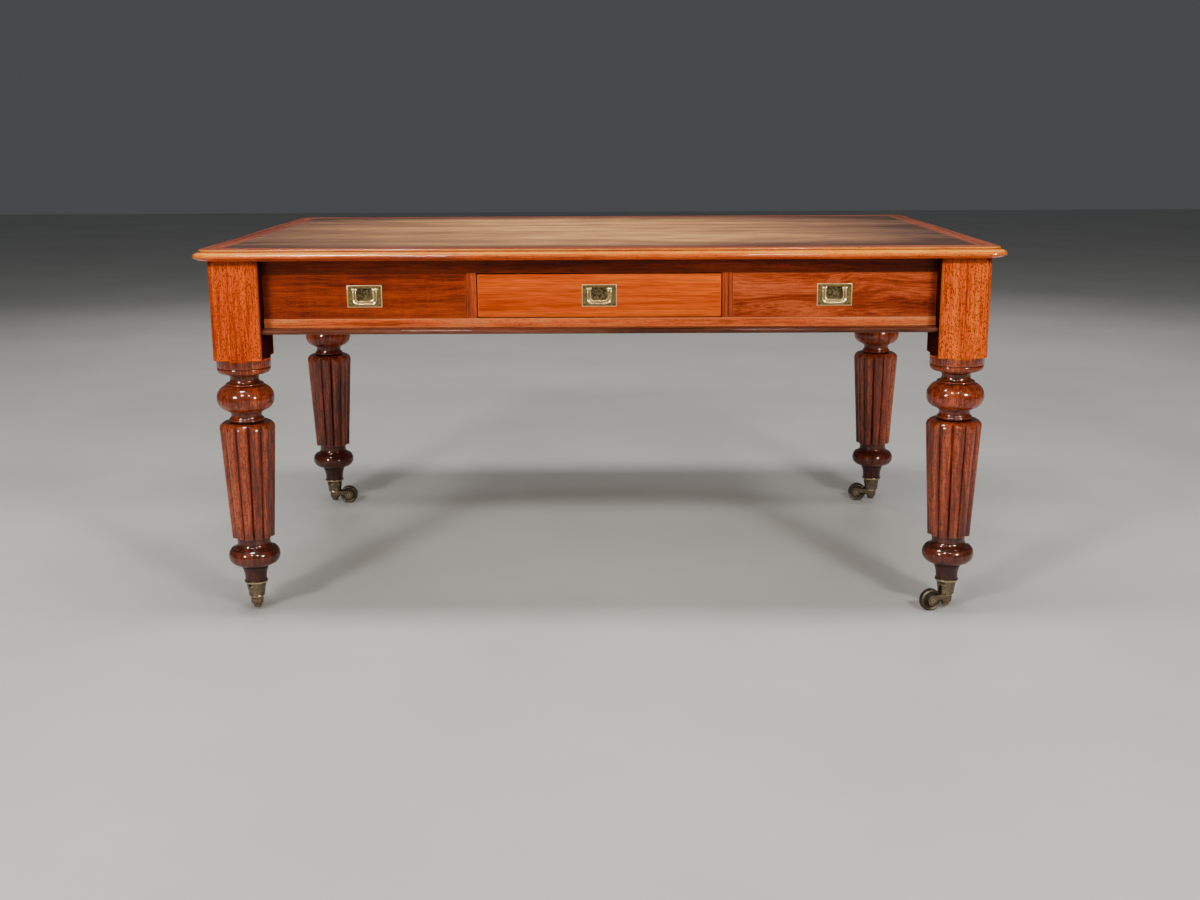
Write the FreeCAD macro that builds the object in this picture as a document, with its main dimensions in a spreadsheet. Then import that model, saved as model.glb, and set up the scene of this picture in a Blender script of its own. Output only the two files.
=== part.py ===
import FreeCAD, Part
import math
import os

import Sketcher

Vector = FreeCAD.Vector
Rotation = FreeCAD.Rotation
Placement = FreeCAD.Placement

doc = FreeCAD.newDocument("PartnersDesk")
sheet = doc.addObject("Spreadsheet::Sheet", "Sizes")

# Driving dimensions: lengths in millimetres, angles in degrees.
# X runs along the desk, Y from front to back, Z up. The origin is on the floor under the middle.
sizes = {
    # Top: ground board, mitred border with a moulded edge, leather lining
    "top_width": 1604.0,
    "top_depth": 1060.0,
    "desk_height": 760.0,
    "top_thickness": 22.5,
    "top_overhang": 28.0,
    "border_width": 55.5,
    "corner_radius": 38.0,
    "quirk_step": 4.0,
    "quirk_inset": 14.0,
    "nose_run": 15.0,
    "leather_thickness": 1.6,
    # Frieze: rails, aprons, dividers and the moulding under them
    "frieze_recess": 35.5,
    "rail_thickness": 25.0,
    "top_rail_height": 30.0,
    "opening_height": 90.0,
    "bottom_rail_height": 17.5,
    "moulding_height": 11.0,
    "moulding_depth": 54.0,
    "moulding_recess": 8.0,
    "centre_opening": 491.0,
    "divider_width": 20.0,
    "tenon_length": 34.0,
    "tenon_thickness": 12.0,
    "tenon_shoulder": 4.0,
    # Drawer carcass inside the frieze
    "runner_width": 60.0,
    "guide_height": 25.0,
    "kicker_width": 56.0,
    "partition_thickness": 20.0,
    "stop_width": 40.0,
    "stop_depth": 16.0,
    "stop_height": 5.5,
    # Drawers
    "drawer_back_gap": 26.5,
    "front_thickness": 20.0,
    "side_thickness": 10.0,
    "side_height": 82.0,
    "back_height": 62.0,
    "bottom_thickness": 6.0,
    "bottom_lift": 6.5,
    "groove_depth": 5.0,
    "tail_length": 14.0,
    "tail_width": 17.0,
    "tail_flare": 2.5,
    "centre_gap": 2.2,
    "flank_gap": 0.7,
    # Flush handles
    "plate_width": 69.5,
    "plate_height": 44.0,
    "plate_thickness": 2.2,
    "plate_proud": 0.8,
    "plate_bevel": 0.7,
    "pan_wall": 3.0,
    "pan_floor": 1.6,
    "seat_depth": 5.2,
    "finger_depth": 10.5,
    "bail_width": 49.5,
    "bail_drop": 31.5,
    "bail_bar": 8.6,
    "bail_thickness": 4.4,
    "bail_corner": 11.0,
    "bail_inner_corner": 4.0,
    "bail_clearance": 0.5,
    "pivot_drop": 8.6,
    "pivot_radius": 1.9,
    "pivot_length": 12.0,
    "pivot_clearance": 0.05,
    "screw_inset": 4.6,
    "screw_head_radius": 2.4,
    "screw_shank_radius": 1.2,
    "screw_length": 12.0,
    # Legs
    "block_width": 100.5,
    "block_depth": 106.0,
    "block_height": 199.5,
    "block_corner": 14.0,
    "upper_turning_height": 132.0,
    "bun_radius": 58.0,
    "shoulder_height": 15.0,
    "shaft_top_radius": 57.0,
    "shaft_foot_radius": 44.0,
    "reed_depth": 8.0,
    "foot_height": 66.0,
    "foot_radius": 53.0,
    "toe_height": 30.0,
    "toe_radius": 28.0,
    "toe_foot_radius": 22.4,
    # Cup castors
    "castor_height": 67.0,
    "cup_height": 33.0,
    "cup_lip_radius": 24.2,
    "cup_lip_height": 4.2,
    "cup_top_radius": 20.8,
    "cup_base_radius": 16.4,
    "cup_wall": 2.2,
    "cup_base": 7.0,
    "cup_bead": 0.6,
    "cup_fit": 0.1,
    "cup_screw_radius": 2.6,
    "cup_screw_length": 10.0,
    "cup_screw_drop": 9.0,
    "cup_screw_proud": 0.5,
    "cup_screw_turn": 60.0,
    "stem_radius": 5.0,
    "stem_length": 18.0,
    "stem_clearance": 0.06,
    "stem_room": 0.5,
    "hub_radius": 13.0,
    "hub_foot_radius": 7.5,
    "hub_height": 23.0,
    "hub_rounding": 4.0,
    "wheel_radius": 23.0,
    "wheel_width": 16.0,
    "wheel_boss_radius": 8.0,
    "wheel_dish": 2.4,
    "wheel_rounding": 3.0,
    "wheel_gap": 0.6,
    "wheel_clearance": 1.6,
    "castor_trail": 37.6,
    "cheek_thickness": 4.0,
    "cheek_radius": 10.8,
    "axle_radius": 3.0,
    "axle_clearance": 0.05,
    "axle_head_radius": 4.6,
    "axle_head_height": 1.0,
    # Way that each castor trails, turned from +X
    "turn_front_left": 104.0,
    "turn_front_right": 200.0,
    "turn_back_left": 2.0,
    "turn_back_right": 160.0,
    # Overrun of every cutting shape past the face that it leaves
    "overrun": 2.0,
}
for row, (alias, value) in enumerate(sizes.items(), start=1):
    sheet.set(f"A{row}", alias)
    sheet.set(f"B{row}", str(value))
    sheet.setAlias(f"B{row}", alias)
doc.recompute()

reed_count = 12
same_place = 1e-6
nodes = []

# Faces and levels that several pieces share, written as expressions on the sheet.
half_width = "(Sizes.top_width / 2)"
half_depth = "(Sizes.top_depth / 2)"
top_under = "(Sizes.desk_height - Sizes.top_thickness)"
block_out_x = f"({half_width} - Sizes.top_overhang)"
block_out_y = f"({half_depth} - Sizes.top_overhang)"
block_in_x = f"({block_out_x} - Sizes.block_width)"
block_in_y = f"({block_out_y} - Sizes.block_depth)"
block_under = f"({top_under} - Sizes.block_height)"
leg_x = f"({block_out_x} - Sizes.block_width / 2)"
leg_y = f"({block_out_y} - Sizes.block_depth / 2)"
frieze_x = f"({block_out_x} - Sizes.frieze_recess)"
frieze_y = f"({block_out_y} - Sizes.frieze_recess)"
rail_back_y = f"({frieze_y} - Sizes.rail_thickness)"
apron_back_x = f"({frieze_x} - Sizes.rail_thickness)"
opening_top = f"({top_under} - Sizes.top_rail_height)"
runner_top = f"({opening_top} - Sizes.opening_height)"
rail_under = f"({runner_top} - Sizes.bottom_rail_height)"
moulding_under = f"({rail_under} - Sizes.moulding_height)"
divider_near = "(Sizes.centre_opening / 2)"
divider_far = f"({divider_near} + Sizes.divider_width)"
divider_middle = f"({divider_near} + Sizes.divider_width / 2)"
partition_face = "(Sizes.partition_thickness / 2)"
drawer_length = f"({frieze_y} - {partition_face} - Sizes.drawer_back_gap)"
flank_opening = f"({block_in_x} - {divider_far})"
flank_middle = f"(({block_in_x} + {divider_far}) / 2)"


def size(alias):
    """Number held by a cell, for shapes that are worked out point by point."""
    return float(sheet.get(alias))


def span(sign, near, far):
    """Low and high expression of a stretch on one side of the middle plane."""
    if sign > 0:
        return near, far
    return f"-({far})", f"-({near})"


def board(name, *stretches):
    """Squared board from three stretches, each a low and a high expression along X, Y and Z."""
    piece = doc.addObject("Part::Box", name)
    for prop, axis, (low, high) in zip(("Length", "Width", "Height"), "xyz", stretches):
        piece.setExpression(prop, f"({high}) - ({low})")
        piece.setExpression(f"Placement.Base.{axis}", low)
    return piece


def rod(name, radius, length, base, axis="z"):
    """Round rod that starts at base and runs along one axis."""
    piece = doc.addObject("Part::Cylinder", name)
    turn = {"x": Rotation(Vector(0, 1, 0), 90), "y": Rotation(Vector(1, 0, 0), -90), "z": Rotation()}
    piece.Placement = Placement(Vector(), turn[axis])
    piece.setExpression("Radius", radius)
    piece.setExpression("Height", length)
    for letter, start in zip("xyz", base):
        piece.setExpression(f"Placement.Base.{letter}", start)
    return piece


def fuse(name, pieces):
    piece = doc.addObject("Part::MultiFuse", name)
    piece.Shapes = pieces
    piece.Refine = True
    return piece


def cut(name, base, tools):
    piece = doc.addObject("Part::Cut", name)
    piece.Base = base
    piece.Tool = tools[0] if len(tools) == 1 else fuse(f"{name}_tools", tools)
    return piece


def common(name, first, second):
    piece = doc.addObject("Part::Common", name)
    piece.Base = first
    piece.Tool = second
    return piece


def placed(name, pieces, base=("0", "0", "0"), turn="0"):
    """One piece, or a group of like pieces, turned about Z and set in its place on the desk."""
    part = doc.addObject("Part::Compound", name)
    part.Label = name
    part.Links = pieces
    for letter, start in zip("xyz", base):
        part.setExpression(f"Placement.Base.{letter}", start)
    part.setExpression("Placement.Rotation.Angle", turn)
    return part


def node(name, pieces, base=("0", "0", "0"), turn="0"):
    """Finished sub-part with a file of its own."""
    nodes.append(placed(name, pieces, base, turn))


def outline(body, name, role, points, lift=None):
    """Closed straight-sided sketch on an origin plane, with every corner tied to the sheet."""
    sketch = body.newObject("Sketcher::SketchObject", name)
    plane = [item for item in body.Origin.OriginFeatures if item.Role == role][0]
    sketch.AttachmentSupport = [(plane, "")]
    sketch.MapMode = "FlatFace"
    if lift:
        sketch.setExpression("AttachmentOffset.Base.z", lift)
    turns = [2 * math.pi * index / len(points) for index in range(len(points))]
    start = [Vector(math.cos(turn), math.sin(turn), 0) for turn in turns]
    for index, corner in enumerate(start):
        sketch.addGeometry(Part.LineSegment(corner, start[(index + 1) % len(start)]), False)
    for index in range(len(points)):
        follower = (index + 1) % len(points)
        sketch.addConstraint(Sketcher.Constraint("Coincident", index, 2, follower, 1))
    for index, (across, along) in enumerate(points):
        for kind, axis_line, value in (("DistanceX", -2, across), ("DistanceY", -1, along)):
            if value == "0":
                sketch.addConstraint(Sketcher.Constraint("PointOnObject", index, 1, axis_line))
            else:
                place = sketch.addConstraint(Sketcher.Constraint(kind, -1, 1, index, 1, start[index].Length))
                sketch.setExpression(f"Constraints[{place}]", value)
    doc.recompute()
    return sketch


def rectangle(left, right, low, high):
    return [(left, low), (right, low), (right, high), (left, high)]


def pad(body, name, sketch, length, against_normal=False):
    feature = body.newObject("PartDesign::Pad", name)
    feature.Profile = sketch
    feature.Reversed = against_normal
    feature.setExpression("Length", length)
    doc.recompute()
    return feature


def pocket(body, name, sketch, depth):
    """Cut against the sketch's normal, checked by the volume that it takes away."""
    before = body.Shape.Volume
    feature = body.newObject("PartDesign::Pocket", name)
    feature.Profile = sketch
    feature.setExpression("Length", depth)
    doc.recompute()
    if body.Shape.Volume >= before:
        raise RuntimeError(f"{name} cut nothing")
    return feature


def turned(name, points):
    """Body turned about its own Z axis from radius and height expressions."""
    body = doc.addObject("PartDesign::Body", name)
    sketch = outline(body, f"{name}_profile", "XZ_Plane", points)
    feature = body.newObject("PartDesign::Revolution", f"{name}_turning")
    feature.Profile = sketch
    feature.ReferenceAxis = (sketch, ["V_Axis"])
    feature.Angle = 360
    doc.recompute()
    return body


def picked(body, chosen):
    """The body's last feature and the names of those of its edges that the test picks."""
    edges = enumerate(body.Tip.Shape.Edges, start=1)
    return body.Tip, [f"Edge{index}" for index, edge in edges if chosen(edge)]


def soften(body, name, radius, chosen):
    """Round the picked edges."""
    base = picked(body, chosen)
    feature = body.newObject("PartDesign::Fillet", name)
    feature.Base = base
    feature.setExpression("Radius", radius)
    doc.recompute()
    return feature


def slant(body, name, rise, run, chosen):
    """Slant the picked edges of a slab, by a rise up its side and a run across its flat face."""
    base = picked(body, chosen)
    feature = body.newObject("PartDesign::Chamfer", name)
    feature.Base = base
    feature.ChamferType = "Two distances"
    feature.setExpression("Size", rise)
    feature.setExpression("Size2", run)
    doc.recompute()
    return feature


def upright(edge):
    first, last = edge.Vertexes[0].Point, edge.Vertexes[-1].Point
    return math.hypot(first.x - last.x, first.y - last.y) < same_place


def level(height):
    """Test for edges that lie wholly at one height."""
    return lambda edge: all(abs(vertex.Z - height) < same_place for vertex in edge.Vertexes)


# Top: one moulded blank with rounded corners is parted by mitred wedges into the four border lengths.
nose_upper_share, nose_lower_share = 0.37, 0.30
nose_tip_share, nose_root_share = 0.24, 1.2
bead_share = 0.45
slab = "(Sizes.top_thickness - Sizes.quirk_step)"
blank = doc.addObject("PartDesign::Body", "border_blank")
blank_plan = rectangle(f"-{half_width}", half_width, f"-{half_depth}", half_depth)
pad(blank, "blank_slab", outline(blank, "blank_plan", "XY_Plane", blank_plan), slab)
soften(blank, "blank_corners", "Sizes.corner_radius", upright)
slab_top = blank.Shape.BoundBox.ZMax
tip_low, tip_high = slab_top * nose_lower_share, slab_top * (1 - nose_upper_share)
slant(blank, "blank_nose_upper", f"{slab} * {nose_upper_share}", "Sizes.nose_run", level(slab_top))
slant(blank, "blank_nose_lower", f"{slab} * {nose_lower_share}", "Sizes.nose_run", level(0))
soften(blank, "blank_nose_root", f"{slab} * {nose_root_share}", level(0))
soften(
    blank, "blank_nose_tip", f"{slab} * {nose_tip_share}",
    lambda edge: level(tip_low)(edge) or level(tip_high)(edge),
)

field = doc.addObject("PartDesign::Body", "border_field")
field_x = f"({half_width} - Sizes.quirk_inset)"
field_y = f"({half_depth} - Sizes.quirk_inset)"
field_plan = rectangle(f"-{field_x}", field_x, f"-{field_y}", field_y)
pad(field, "field_slab", outline(field, "field_plan", "XY_Plane", field_plan), "Sizes.top_thickness")
soften(field, "field_corners", "Sizes.corner_radius - Sizes.quirk_inset", upright)
soften(field, "field_bead", f"Sizes.quirk_step * {bead_share}", level(field.Shape.BoundBox.ZMax))
moulded = fuse("border_moulded", [blank, field])


def mitred(name, half_length, half_reach, turn):
    """One border length: the moulded blank inside a wedge whose ends are mitred."""
    wedge = doc.addObject("Part::Wedge", f"{name}_wedge")
    bounds = {
        "Xmin": f"-{half_length}",
        "Xmax": half_length,
        "X2min": f"-({half_length} - Sizes.border_width)",
        "X2max": f"{half_length} - Sizes.border_width",
        "Ymin": f"-{half_reach}",
        "Ymax": f"-({half_reach} - Sizes.border_width)",
        "Zmin": "-Sizes.overrun",
        "Z2min": "-Sizes.overrun",
        "Zmax": "Sizes.top_thickness + Sizes.overrun",
        "Z2max": "Sizes.top_thickness + Sizes.overrun",
    }
    for prop, expression in bounds.items():
        wedge.setExpression(prop, expression)
    wedge.Placement = Placement(Vector(), Rotation(Vector(0, 0, 1), turn))
    return common(name, moulded, wedge)


border = [
    mitred("border_front", half_width, half_depth, 0),
    mitred("border_right", half_depth, half_width, 90),
    mitred("border_back", half_width, half_depth, 180),
    mitred("border_left", half_depth, half_width, 270),
]
node("top_border", border, ("0", "0", top_under))

lining_x = f"({half_width} - Sizes.border_width)"
lining_y = f"({half_depth} - Sizes.border_width)"
leather_under = "(Sizes.desk_height - Sizes.leather_thickness)"
lining_plan = [(f"-{lining_x}", lining_x), (f"-{lining_y}", lining_y)]
node("top_panel", [board("ground_board", *lining_plan, (top_under, leather_under))])
node("leather_writing_surface", [board("leather", *lining_plan, (leather_under, "Sizes.desk_height"))])


# Frieze rails run between the leg blocks, and each end carries a tenon.
def tenon(name, sign, level_low, level_high):
    """Tenon at one end of a front rail, on the inner face of a leg block."""
    reach = span(sign, block_in_x, f"{block_in_x} + Sizes.tenon_length")
    middle = f"({frieze_y} - Sizes.rail_thickness / 2)"
    thick = (f"-({middle} + Sizes.tenon_thickness / 2)", f"-({middle} - Sizes.tenon_thickness / 2)")
    tall = (f"{level_low} + Sizes.tenon_shoulder", f"{level_high} - Sizes.tenon_shoulder")
    return board(name, reach, thick, tall)


top_tenons, bottom_tenons = {}, {}
for sign in (-1, 1):
    top_tenons[sign] = tenon(f"top_tenon_{sign + 1}", sign, opening_top, top_under)
    bottom_tenons[sign] = tenon(f"bottom_tenon_{sign + 1}", sign, rail_under, runner_top)
rail_run = (f"-{block_in_x}", block_in_x)
top_rail_board = board(
    "top_rail_board", rail_run, (f"-{frieze_y}", f"-{rail_back_y}"), (opening_top, top_under)
)
bottom_rail_board = board(
    "bottom_rail_board", rail_run, (f"-{frieze_y}", f"-{block_in_y}"), (rail_under, runner_top)
)
top_rail = fuse("top_rail", [top_rail_board, *top_tenons.values()])
bottom_rail = fuse("bottom_rail", [bottom_rail_board, *bottom_tenons.values()])


# End aprons stand between the leg blocks along Y, with one long tenon at each end.
def apron_tenon(x_sign, y_sign):
    middle = f"({frieze_x} - Sizes.rail_thickness / 2)"
    return board(
        f"apron_tenon_x{x_sign + 1}_y{y_sign + 1}",
        span(x_sign, f"{middle} - Sizes.tenon_thickness / 2", f"{middle} + Sizes.tenon_thickness / 2"),
        span(y_sign, block_in_y, f"{block_in_y} + Sizes.tenon_length"),
        (f"{rail_under} + Sizes.tenon_shoulder", f"{top_under} - Sizes.tenon_shoulder"),
    )


apron_board = board(
    "apron_board", (apron_back_x, frieze_x), (f"-{block_in_y}", block_in_y), (rail_under, top_under)
)
right_apron_tenons = {sign: apron_tenon(1, sign) for sign in (-1, 1)}
apron = fuse("apron", [apron_board, *right_apron_tenons.values()])

no_turn, half_turn = "0", "180"
for side, turn in (("front", no_turn), ("back", half_turn)):
    node(f"top_rail_{side}", [top_rail], turn=turn)
    node(f"bottom_rail_{side}", [bottom_rail], turn=turn)
for side, turn in (("right", no_turn), ("left", half_turn)):
    node(f"end_apron_{side}", [apron], turn=turn)


# Moulding under the frieze: a strip with a full round nose on each of the four sides.
def nosed_strip(name, half_run, nose, turn):
    radius = "Sizes.moulding_height / 2"
    heart = f"({nose} - {radius})"
    flat = board(
        f"{name}_flat",
        (f"-{half_run}", half_run),
        (f"-{heart}", f"-({nose} - Sizes.moulding_depth)"),
        (moulding_under, rail_under),
    )
    start = (f"-{half_run}", f"-{heart}", f"{moulding_under} + {radius}")
    strip = fuse(name, [flat, rod(f"{name}_nose", radius, f"2 * {half_run}", start, "x")])
    strip.Placement = Placement(Vector(), Rotation(Vector(0, 0, 1), turn))
    return strip


moulding_y = f"({block_out_y} - Sizes.moulding_recess)"
moulding_x = f"({block_out_x} - Sizes.moulding_recess)"
strips = [
    nosed_strip("moulding_front", block_in_x, moulding_y, 0),
    nosed_strip("moulding_right", block_in_y, moulding_x, 90),
    nosed_strip("moulding_back", block_in_x, moulding_y, 180),
    nosed_strip("moulding_left", block_in_y, moulding_x, 270),
]
node("frieze_moulding", strips)

# Drawer carcass: dividers in the frieze, then runners, guides and kickers along Y on four lines.
dividers, runners, guides, kickers, stops = [], [], [], [], []
guide_tall = (runner_top, f"{runner_top} + Sizes.guide_height")
kicker_tall = (opening_top, top_under)
runner_tall = (rail_under, runner_top)
centred = {
    "runner": (f"{divider_middle} - Sizes.runner_width / 2", f"{divider_middle} + Sizes.runner_width / 2"),
    "kicker": (f"{divider_middle} - Sizes.kicker_width / 2", f"{divider_middle} + Sizes.kicker_width / 2"),
}
for x_sign in (-1, 1):
    side = f"x{x_sign + 1}"
    inner_line = span(x_sign, *centred["runner"])
    outer_line = span(x_sign, f"{apron_back_x} - Sizes.runner_width", apron_back_x)
    full_run = (f"-{block_in_y}", block_in_y)
    runners.append(board(f"inner_runner_{side}", inner_line, full_run, runner_tall))
    runners.append(board(f"outer_runner_{side}", outer_line, full_run, runner_tall))
    for y_sign in (-1, 1):
        place = f"{side}_y{y_sign + 1}"
        divider_line = span(x_sign, divider_near, divider_far)
        divider_run = span(y_sign, rail_back_y, frieze_y)
        behind_divider = span(y_sign, partition_face, rail_back_y)
        behind_block = span(y_sign, partition_face, block_in_y)
        dividers.append(board(f"divider_{place}", divider_line, divider_run, (runner_top, opening_top)))
        guides.append(board(f"inner_guide_{place}", divider_line, behind_divider, guide_tall))
        outer_guide = span(x_sign, block_in_x, apron_back_x)
        guides.append(board(f"outer_guide_{place}", outer_guide, behind_block, guide_tall))
        inner_kicker = span(x_sign, *centred["kicker"])
        outer_kicker = span(x_sign, f"{apron_back_x} - Sizes.kicker_width", apron_back_x)
        kickers.append(board(f"inner_kicker_{place}", inner_kicker, behind_divider, kicker_tall))
        kickers.append(board(f"outer_kicker_{place}", outer_kicker, behind_block, kicker_tall))
node("drawer_dividers", dividers)
node("drawer_runners", runners)
node("drawer_guides", guides)
node("drawer_kickers", kickers)
partition = board(
    "partition",
    (f"-{apron_back_x}", apron_back_x),
    (f"-{partition_face}", partition_face),
    (runner_top, top_under),
)
node("centre_partition", [partition])

# Stops glued on the bottom rails behind each drawer front, two to a drawer.
stop_share = 0.3
stop_face = f"({frieze_y} - Sizes.front_thickness)"
drawer_middles = {"left": f"-{flank_middle}", "centre": "0", "right": flank_middle}
openings = {"left": flank_opening, "centre": "Sizes.centre_opening", "right": flank_opening}
for column, middle in drawer_middles.items():
    for x_sign in (-1, 1):
        for y_sign in (-1, 1):
            heart = f"({middle} + {x_sign} * {stop_share} * {openings[column]})"
            stops.append(board(
                f"stop_{column}_x{x_sign + 1}_y{y_sign + 1}",
                (f"{heart} - Sizes.stop_width / 2", f"{heart} + Sizes.stop_width / 2"),
                span(y_sign, f"{stop_face} - Sizes.stop_depth", stop_face),
                (runner_top, f"{runner_top} + Sizes.stop_height"),
            ))
node("drawer_stops", stops)

# Flush handle, in the drawer's own frame: Y starts at the drawer front's face and runs inwards.
# The plate is centred on the opening; the cast pan behind it seats the bail and leaves room for fingers.
plate_face = "(-Sizes.plate_proud)"
plate_top = "((Sizes.opening_height + Sizes.plate_height) / 2)"
plate_low = "((Sizes.opening_height - Sizes.plate_height) / 2)"
plate_x = "(Sizes.plate_width / 2)"
pivot_z = f"({plate_top} - Sizes.pivot_drop)"
pivot_y = f"({plate_face} + Sizes.seat_depth - Sizes.bail_clearance - Sizes.bail_thickness / 2)"
bail_low = f"({pivot_z} - Sizes.bail_drop)"
bail_x = "(Sizes.bail_width / 2)"
seat_x = f"({bail_x} + Sizes.bail_clearance)"
seat_low = f"({bail_low} - Sizes.bail_clearance)"
seat_top = f"({pivot_z} + Sizes.bail_thickness / 2 + Sizes.bail_clearance)"
finger_x = f"({bail_x} - Sizes.bail_bar)"
finger_low = f"({bail_low} + Sizes.bail_bar)"
pan_x = f"({seat_x} + Sizes.pan_wall)"
pan_low = f"({seat_low} - Sizes.pan_wall)"
pan_top = f"({seat_top} + Sizes.pan_wall)"
pan_depth = "(Sizes.finger_depth + Sizes.pan_floor)"
arm_middle = f"({bail_x} - Sizes.bail_bar / 2)"
slot_radius = "(Sizes.pivot_radius + Sizes.pivot_clearance)"
slot_reach = f"({arm_middle} + Sizes.pivot_length / 2 + Sizes.bail_clearance)"


def facing(body, name, points, depth):
    """Sketch parallel to the drawer front, at a depth behind its face."""
    return outline(body, name, "XZ_Plane", points, lift=f"-({depth})")


def along_y(edge):
    first, last = edge.Vertexes[0].Point, edge.Vertexes[-1].Point
    return math.hypot(first.x - last.x, first.z - last.z) < same_place


def lowest(sketch):
    """Test for the edges along Y at the lowest height that the sketch reaches."""
    low = sketch.Shape.BoundBox.ZMin
    return lambda edge: along_y(edge) and abs(edge.Vertexes[0].Z - low) < same_place


plate = doc.addObject("PartDesign::Body", "plate")
plate_corners = rectangle(f"-{plate_x}", plate_x, plate_low, plate_top)
plate_outline = facing(plate, "plate_outline", plate_corners, plate_face)
pad(plate, "plate_slab", plate_outline, "Sizes.plate_thickness", against_normal=True)
face_y = plate.Shape.BoundBox.YMin
soften(
    plate, "plate_edge", "Sizes.plate_bevel",
    lambda edge: all(abs(vertex.Y - face_y) < same_place for vertex in edge.Vertexes),
)
pan_corners = rectangle(f"-{pan_x}", pan_x, pan_low, pan_top)
pan_outline = facing(plate, "pan_outline", pan_corners, f"{plate_face} + Sizes.plate_bevel")
pad(plate, "pan_block", pan_outline, f"{pan_depth} - Sizes.plate_bevel", against_normal=True)
seat_corners = rectangle(f"-{seat_x}", seat_x, seat_low, seat_top)
seat_outline = facing(plate, "seat_outline", seat_corners, plate_face)
pocket(plate, "seat_cut", seat_outline, "Sizes.seat_depth")
soften(plate, "seat_rounding", "Sizes.bail_corner + Sizes.bail_clearance", lowest(seat_outline))
finger_corners = rectangle(f"-{finger_x}", finger_x, finger_low, seat_top)
finger_outline = facing(plate, "finger_outline", finger_corners, plate_face)
pocket(plate, "finger_cut", finger_outline, "Sizes.finger_depth")
slot_corners = rectangle(
    f"-{slot_reach}", slot_reach, f"{pivot_z} - {slot_radius}", f"{pivot_z} + {slot_radius}"
)
slot_outline = facing(plate, "slot_outline", slot_corners, plate_face)
pocket(plate, "slot_cut", slot_outline, f"{pivot_y} - {plate_face}")
slot_bed = rod("slot_bed", slot_radius, f"2 * {slot_reach}", (f"-{slot_reach}", pivot_y, pivot_z), "x")


def handle_screw(name, x_sign, height):
    """Countersunk screw at one corner of the plate."""
    base = (f"{x_sign} * ({plate_x} - Sizes.screw_inset)", plate_face, height)
    head = doc.addObject("Part::Cone", f"{name}_head")
    head.Placement = Placement(Vector(), Rotation(Vector(1, 0, 0), -90))
    head.setExpression("Radius1", "Sizes.screw_head_radius")
    head.setExpression("Radius2", "Sizes.screw_shank_radius")
    head.setExpression("Height", "Sizes.screw_head_radius - Sizes.screw_shank_radius")
    for letter, start in zip("xyz", base):
        head.setExpression(f"Placement.Base.{letter}", start)
    shank = rod(f"{name}_shank", "Sizes.screw_shank_radius", "Sizes.screw_length", base, "y")
    return fuse(name, [head, shank])


screws = []
screw_heights = {
    "low": f"{plate_low} + Sizes.screw_inset",
    "top": f"{plate_top} - Sizes.screw_inset",
}
for x_sign in (-1, 1):
    for corner, height in screw_heights.items():
        screws.append(handle_screw(f"handle_screw_{corner}_x{x_sign + 1}", x_sign, height))
handle_plate = cut("handle_plate", plate, [slot_bed, *screws])

bail_bow = doc.addObject("PartDesign::Body", "bail_bow")
bail_face = f"{pivot_y} - Sizes.bail_thickness / 2"
bow_corners = rectangle(f"-{bail_x}", bail_x, bail_low, pivot_z)
bow_outline = facing(bail_bow, "bow_outline", bow_corners, bail_face)
pad(bail_bow, "bow_slab", bow_outline, "Sizes.bail_thickness", against_normal=True)
soften(bail_bow, "bow_rounding", "Sizes.bail_corner", lowest(bow_outline))
grip_corners = rectangle(f"-{finger_x}", finger_x, finger_low, f"{pivot_z} + Sizes.overrun")
grip_outline = facing(bail_bow, "grip_outline", grip_corners, bail_face)
pocket(bail_bow, "grip_cut", grip_outline, "Sizes.bail_thickness")
soften(bail_bow, "grip_rounding", "Sizes.bail_inner_corner", lowest(grip_outline))
bail_pieces = [bail_bow]
for x_sign in (-1, 1):
    for part_name, radius, length in (
        ("knuckle", "Sizes.bail_thickness / 2", "Sizes.bail_bar"),
        ("ear", "Sizes.pivot_radius", "Sizes.pivot_length"),
    ):
        start = (f"{x_sign} * {arm_middle} - {length} / 2", pivot_y, pivot_z)
        bail_pieces.append(rod(f"bail_{part_name}_x{x_sign + 1}", radius, length, start, "x"))
bail = fuse("bail", bail_pieces)

# Drawers, in the same frame: X centred on the opening, Z from the top of the runners.
plate_bed = board(
    "plate_bed",
    (f"-{plate_x}", plate_x),
    (plate_face, f"{plate_face} + Sizes.plate_thickness"),
    (plate_low, plate_top),
)
pan_bed = board(
    "pan_bed",
    (f"-{pan_x}", pan_x),
    (plate_face, f"{plate_face} + {pan_depth}"),
    (pan_low, pan_top),
)
tail_shares = (0.22, 0.52, 0.82)


def drawer_side(name, sign, outer, bottom):
    """Drawer side with lapped dovetail tails at the front and a groove for the bottom."""
    thick = span(sign, f"{outer} - Sizes.side_thickness", outer)
    run = ("Sizes.front_thickness", drawer_length)
    pieces = [board(f"{name}_board", thick, run, ("0", "Sizes.side_height"))]
    for index, share in enumerate(tail_shares):
        tail = doc.addObject("Part::Wedge", f"{name}_tail_{index}")
        middle = f"Sizes.side_height * {share}"
        root, tip = "Sizes.tail_width / 2", "(Sizes.tail_width / 2 + Sizes.tail_flare)"
        bounds = {
            "Xmin": thick[0],
            "Xmax": thick[1],
            "X2min": thick[0],
            "X2max": thick[1],
            "Ymin": "Sizes.front_thickness - Sizes.tail_length",
            "Ymax": "Sizes.front_thickness",
            "Zmin": f"{middle} - {tip}",
            "Zmax": f"{middle} + {tip}",
            "Z2min": f"{middle} - {root}",
            "Z2max": f"{middle} + {root}",
        }
        for prop, expression in bounds.items():
            tail.setExpression(prop, expression)
        pieces.append(tail)
    return cut(name, fuse(f"{name}_tailed", pieces), [bottom])


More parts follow.
